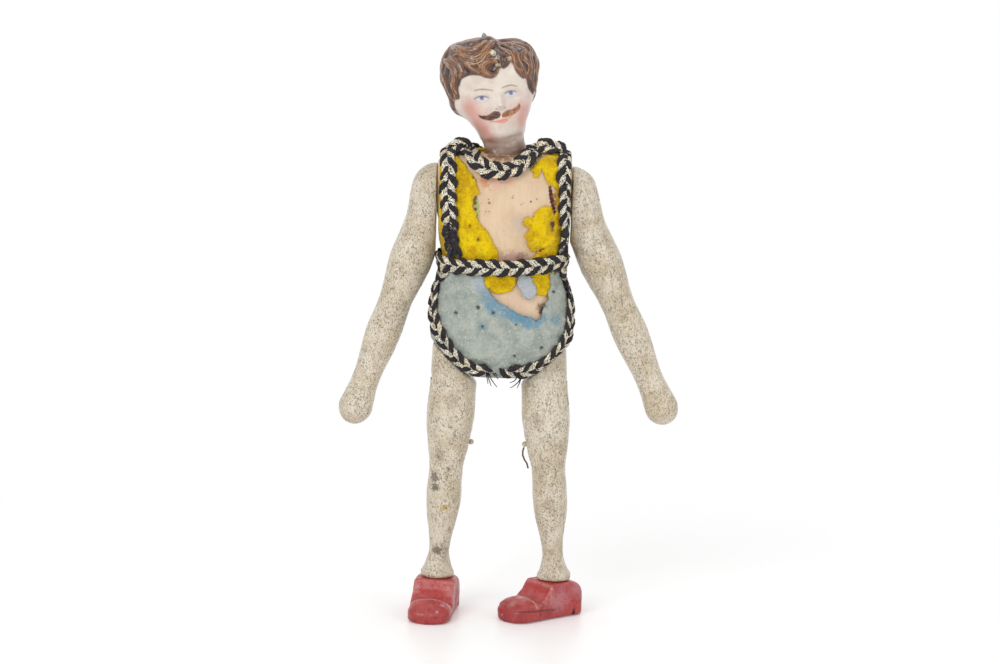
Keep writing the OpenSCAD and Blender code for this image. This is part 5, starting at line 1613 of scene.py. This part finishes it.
def make_head():
    """The head's relief, and what its paint has to know."""
    p = head_base
    front = smooth(-p[..., 1], FACE_FROM, FACE_TO)
    flat = p[..., [0, 2]]
    turn = np.degrees(np.arctan2(p[..., 0], -p[..., 1]))
    over = (p[..., 2] - np.interp(turn, *hair_edge())) * HAIR_SLOPE
    off, _ = to_line(flat, resample(on_face(HAIRLINE), HAIR_STEP))
    inside = np.where(front > 0.5, np.sign(over) * np.minimum(np.abs(over) * EDGE_STRETCH, off), over)
    wavy = inside + EDGE_RAGGED * rough(p, 1.3, 5)
    hair = smooth(wavy, -0.12, 0.3)
    swell, grain = make_hair(p, turn)
    hair_height = HAIR_RISE + smooth(wavy, 0.1, 1.6) * (WAVE_H * swell - WAVE_FOOT + GRAIN_H * grain)
    hair_height = hair_height - CROWN_DROP * np.exp(-(np.hypot(p[..., 0], p[..., 1]) / 6) ** 2)
    drop = side_drop(p, turn)
    height = hair * (hair_height - drop) + (1 - hair) * (make_face(p) * front - FACE_DROP * drop)
    marks = paint_masks(p, flat, front, hair)
    # Low where the hair lies deep and high on its crests, for painted shade and painted highlights.
    marks["lock_crest"] = np.clip(0.5 + 0.26 * grain * (0.7 + rough(p, 3, 15)) + 0.75 * (swell - 0.58), 0, 1)
    marks["hair"] = hair
    uneven = 0.5 * rough(p, 1.1, 6)
    chips = [(np.linalg.norm(p - head_hit(x, y), axis=-1) + uneven, radius) for x, y, radius in HAIR_CHIPS]
    marks["chip"] = np.clip(sum(1 - smooth(gap, radius * 0.6, radius * 1.1) for gap, radius in chips), 0, 1)
    height = height - CHIP_DEPTH * marks["chip"]
    grid = into_world(p + head_out * height[..., None])
    add_mesh("moulded_head", grid.reshape(-1, 3), head_faces, "head", ("head",), marks,
             head_paint())


BROW_W, LID_W, UPPER_LIP_W, LOWER_LIP_W, CHIN_SHADOW_W = 0.36, 0.42, 0.36, 0.55, 0.9
IRIS_R, PUPIL_R, NOSTRIL_R, PUPIL_UP = (0.55, 0.95), (0.2, 0.5), (0.2, 0.55), (0, 0.2)


def paint_masks(p, flat, front, hair):
    """What the brush left on the face, with a painted shadow under the chin, and grime and painted shade at
    the neck's foot, each from 0 to 1.
    """
    marks = {}
    marks["brow"] = sum(stroke(flat, b, BROW_W) for b in BROWS)
    marks["lid"] = sum(stroke(flat, b, LID_W, 0.5) for b in LIDS)
    irises = on_face(IRISES)
    marks["iris"] = spots_at(flat, irises, *IRIS_R)
    marks["pupil"] = spots_at(flat, [c + PUPIL_UP for c in irises], *PUPIL_R)
    oval = [np.hypot((flat[..., 0] - c[0]) / EYE_HALF_W, (flat[..., 1] - c[1] + EYE_SINK) / EYE_HALF_H)
            for c in irises]
    marks["eye_white"] = sum(1 - smooth(o, 0.7, 1.0) for o in oval)
    marks["eye_shade"] = sum(np.exp(-((o - 1.15) / 0.35) ** 2) for o in oval)
    for k, (key, outline) in enumerate(zip(("tache_right", "tache_left"), MOUSTACHE)):
        shape = resample(on_face(outline + outline[:1]), OUTLINE_STEP)[:-1]
        gap = to_outline(flat, shape.tolist()) + 0.1 * rough(flat, 0.6, 40 + k)
        marks[key] = 1 - smooth(gap, -0.18, 0.15)
    lower_lip = 0.8 * stroke(flat, LOWER_LIP, LOWER_LIP_W)
    marks["lips"] = np.maximum(stroke(flat, UPPER_LIP, UPPER_LIP_W), lower_lip)
    marks["blush"] = np.clip(sum(bumps_at(p, [(1, [(x, y)], size)]) for x, y, size in BLUSH), 0, 1)
    # Painted shadow under the chin.
    marks["chin_shadow"] = stroke(flat, CHIN_SHADOW_LINE, CHIN_SHADOW_W)
    marks["nostril"] = spots_at(flat, on_face(NOSTRILS), *NOSTRIL_R)
    marks = {k: np.clip(v * front * (1 - hair), 0, 1) for k, v in marks.items()}
    # Darker brown towards the neck's foot: grime in part, and painted shade under the head and in the neck's
    # seat in part.
    low = 1 - smooth(p[..., 2] + 0.7 * rough(p, 3, 7), 0.8, 6.2)
    marks["neck"] = low * (0.85 + 0.15 * smooth(np.abs(p[..., 0]), 1, 6))
    return marks


FACE_PAINT = (
    ("eye_shade", (196, 186, 188), 0.5), ("eye_white", (212, 208, 214), 0.7), ("iris", (98, 112, 160), 0.85),
    ("pupil", (50, 56, 96), 0.9), ("lid", (108, 100, 122), 0.8), ("brow", (150, 122, 72), 0.8),
    ("nostril", (170, 130, 100), 0.6), ("lips", (222, 112, 82), 0.85), ("chin_shadow", (176, 140, 126), 0.55),
    ("tache_right", (100, 54, 28), 0.95), ("tache_left", (134, 72, 36), 0.95))


def head_paint():
    """Satin bisque with brush work and a painted shadow under the chin, grime and painted shade at the neck's
    foot, and hair in glossy brown glaze with painted shade in its valleys and painted highlights on its
    crests.
    """
    p = Paint("painted_bisque", roughness=0.35, coat=0.3, specular=0.5)
    colour = p.mottle((228, 216, 204), (214, 198, 186), 5, 3, 0.35, 0.65)
    colour = p.tint(colour, p.patches(1.2, 4, 0.62, 0.75), 0.4, (176, 160, 140))
    # The neck's patchy brown is grime in part and painted shade in part, deepest at its foot.
    patchy = p.maths("MULTIPLY", p.patches(2.6, 4, 0.1, 0.5), 0.97)
    low_paint = (("blush", (208, 122, 108), 0.62), ("neck", (118, 80, 56), patchy))
    for key, rgb, strength in low_paint + FACE_PAINT:
        colour = p.tint(colour, p.mark(key), strength, rgb)
    streaks = p.patches(0.7, 3, 0.45, 0.6, where=p.stretch(0.45, 1, 1, (0, 0.5, 0)))
    for key, rgb, strength in (("tache_right", (50, 26, 20), 0.85), ("tache_left", (206, 150, 96), 0.6)):
        colour = p.tint(colour, p.maths("MULTIPLY", p.mark(key), streaks), strength, rgb)
    brown = p.mottle((76, 44, 28), (114, 70, 40), 4, 4, 0.38, 0.62)
    # Painted shade in the hair's valleys, and painted highlights on its crests.
    brown = p.mix(p.between(p.mark("lock_crest"), 0.12, 0.5, 1.0, 0.0), brown, linear(48, 32, 28))
    brown = p.mix(p.between(p.mark("lock_crest"), 0.64, 0.88, 0.0, 0.65), brown, linear(198, 146, 98))
    brown = p.tint(brown, p.patches(5, 5, 0.46, 0.62, rough=0.65), 0.5, (84, 62, 64))
    fine = p.patches(0.5, 4, 0.5, 0.62, where=p.stretch(0.5, 1, 1, (0, 0.5, 0)), rough=0.7, warp=0.8)
    brown = p.tint(brown, fine, 0.4, (78, 46, 34))
    colour = p.mix(p.mark("hair"), colour, brown)
    chip = p.mottle((240, 228, 208), (196, 182, 138), 1.4, 3, 0.4, 0.55)
    colour = p.mix(p.mark("chip"), colour, chip)
    gloss = p.between(p.mark("hair"), 0.0, 1.0, 0.34, 0.16)
    swell = p.maths("MULTIPLY", p.mark("lock_crest"), 0.4)
    height = p.maths("ADD", p.maths("MULTIPLY", p.noise(0.8, 3), 0.5), swell)
    return p.finish(colour, height, 0.06, gloss)


make_head()
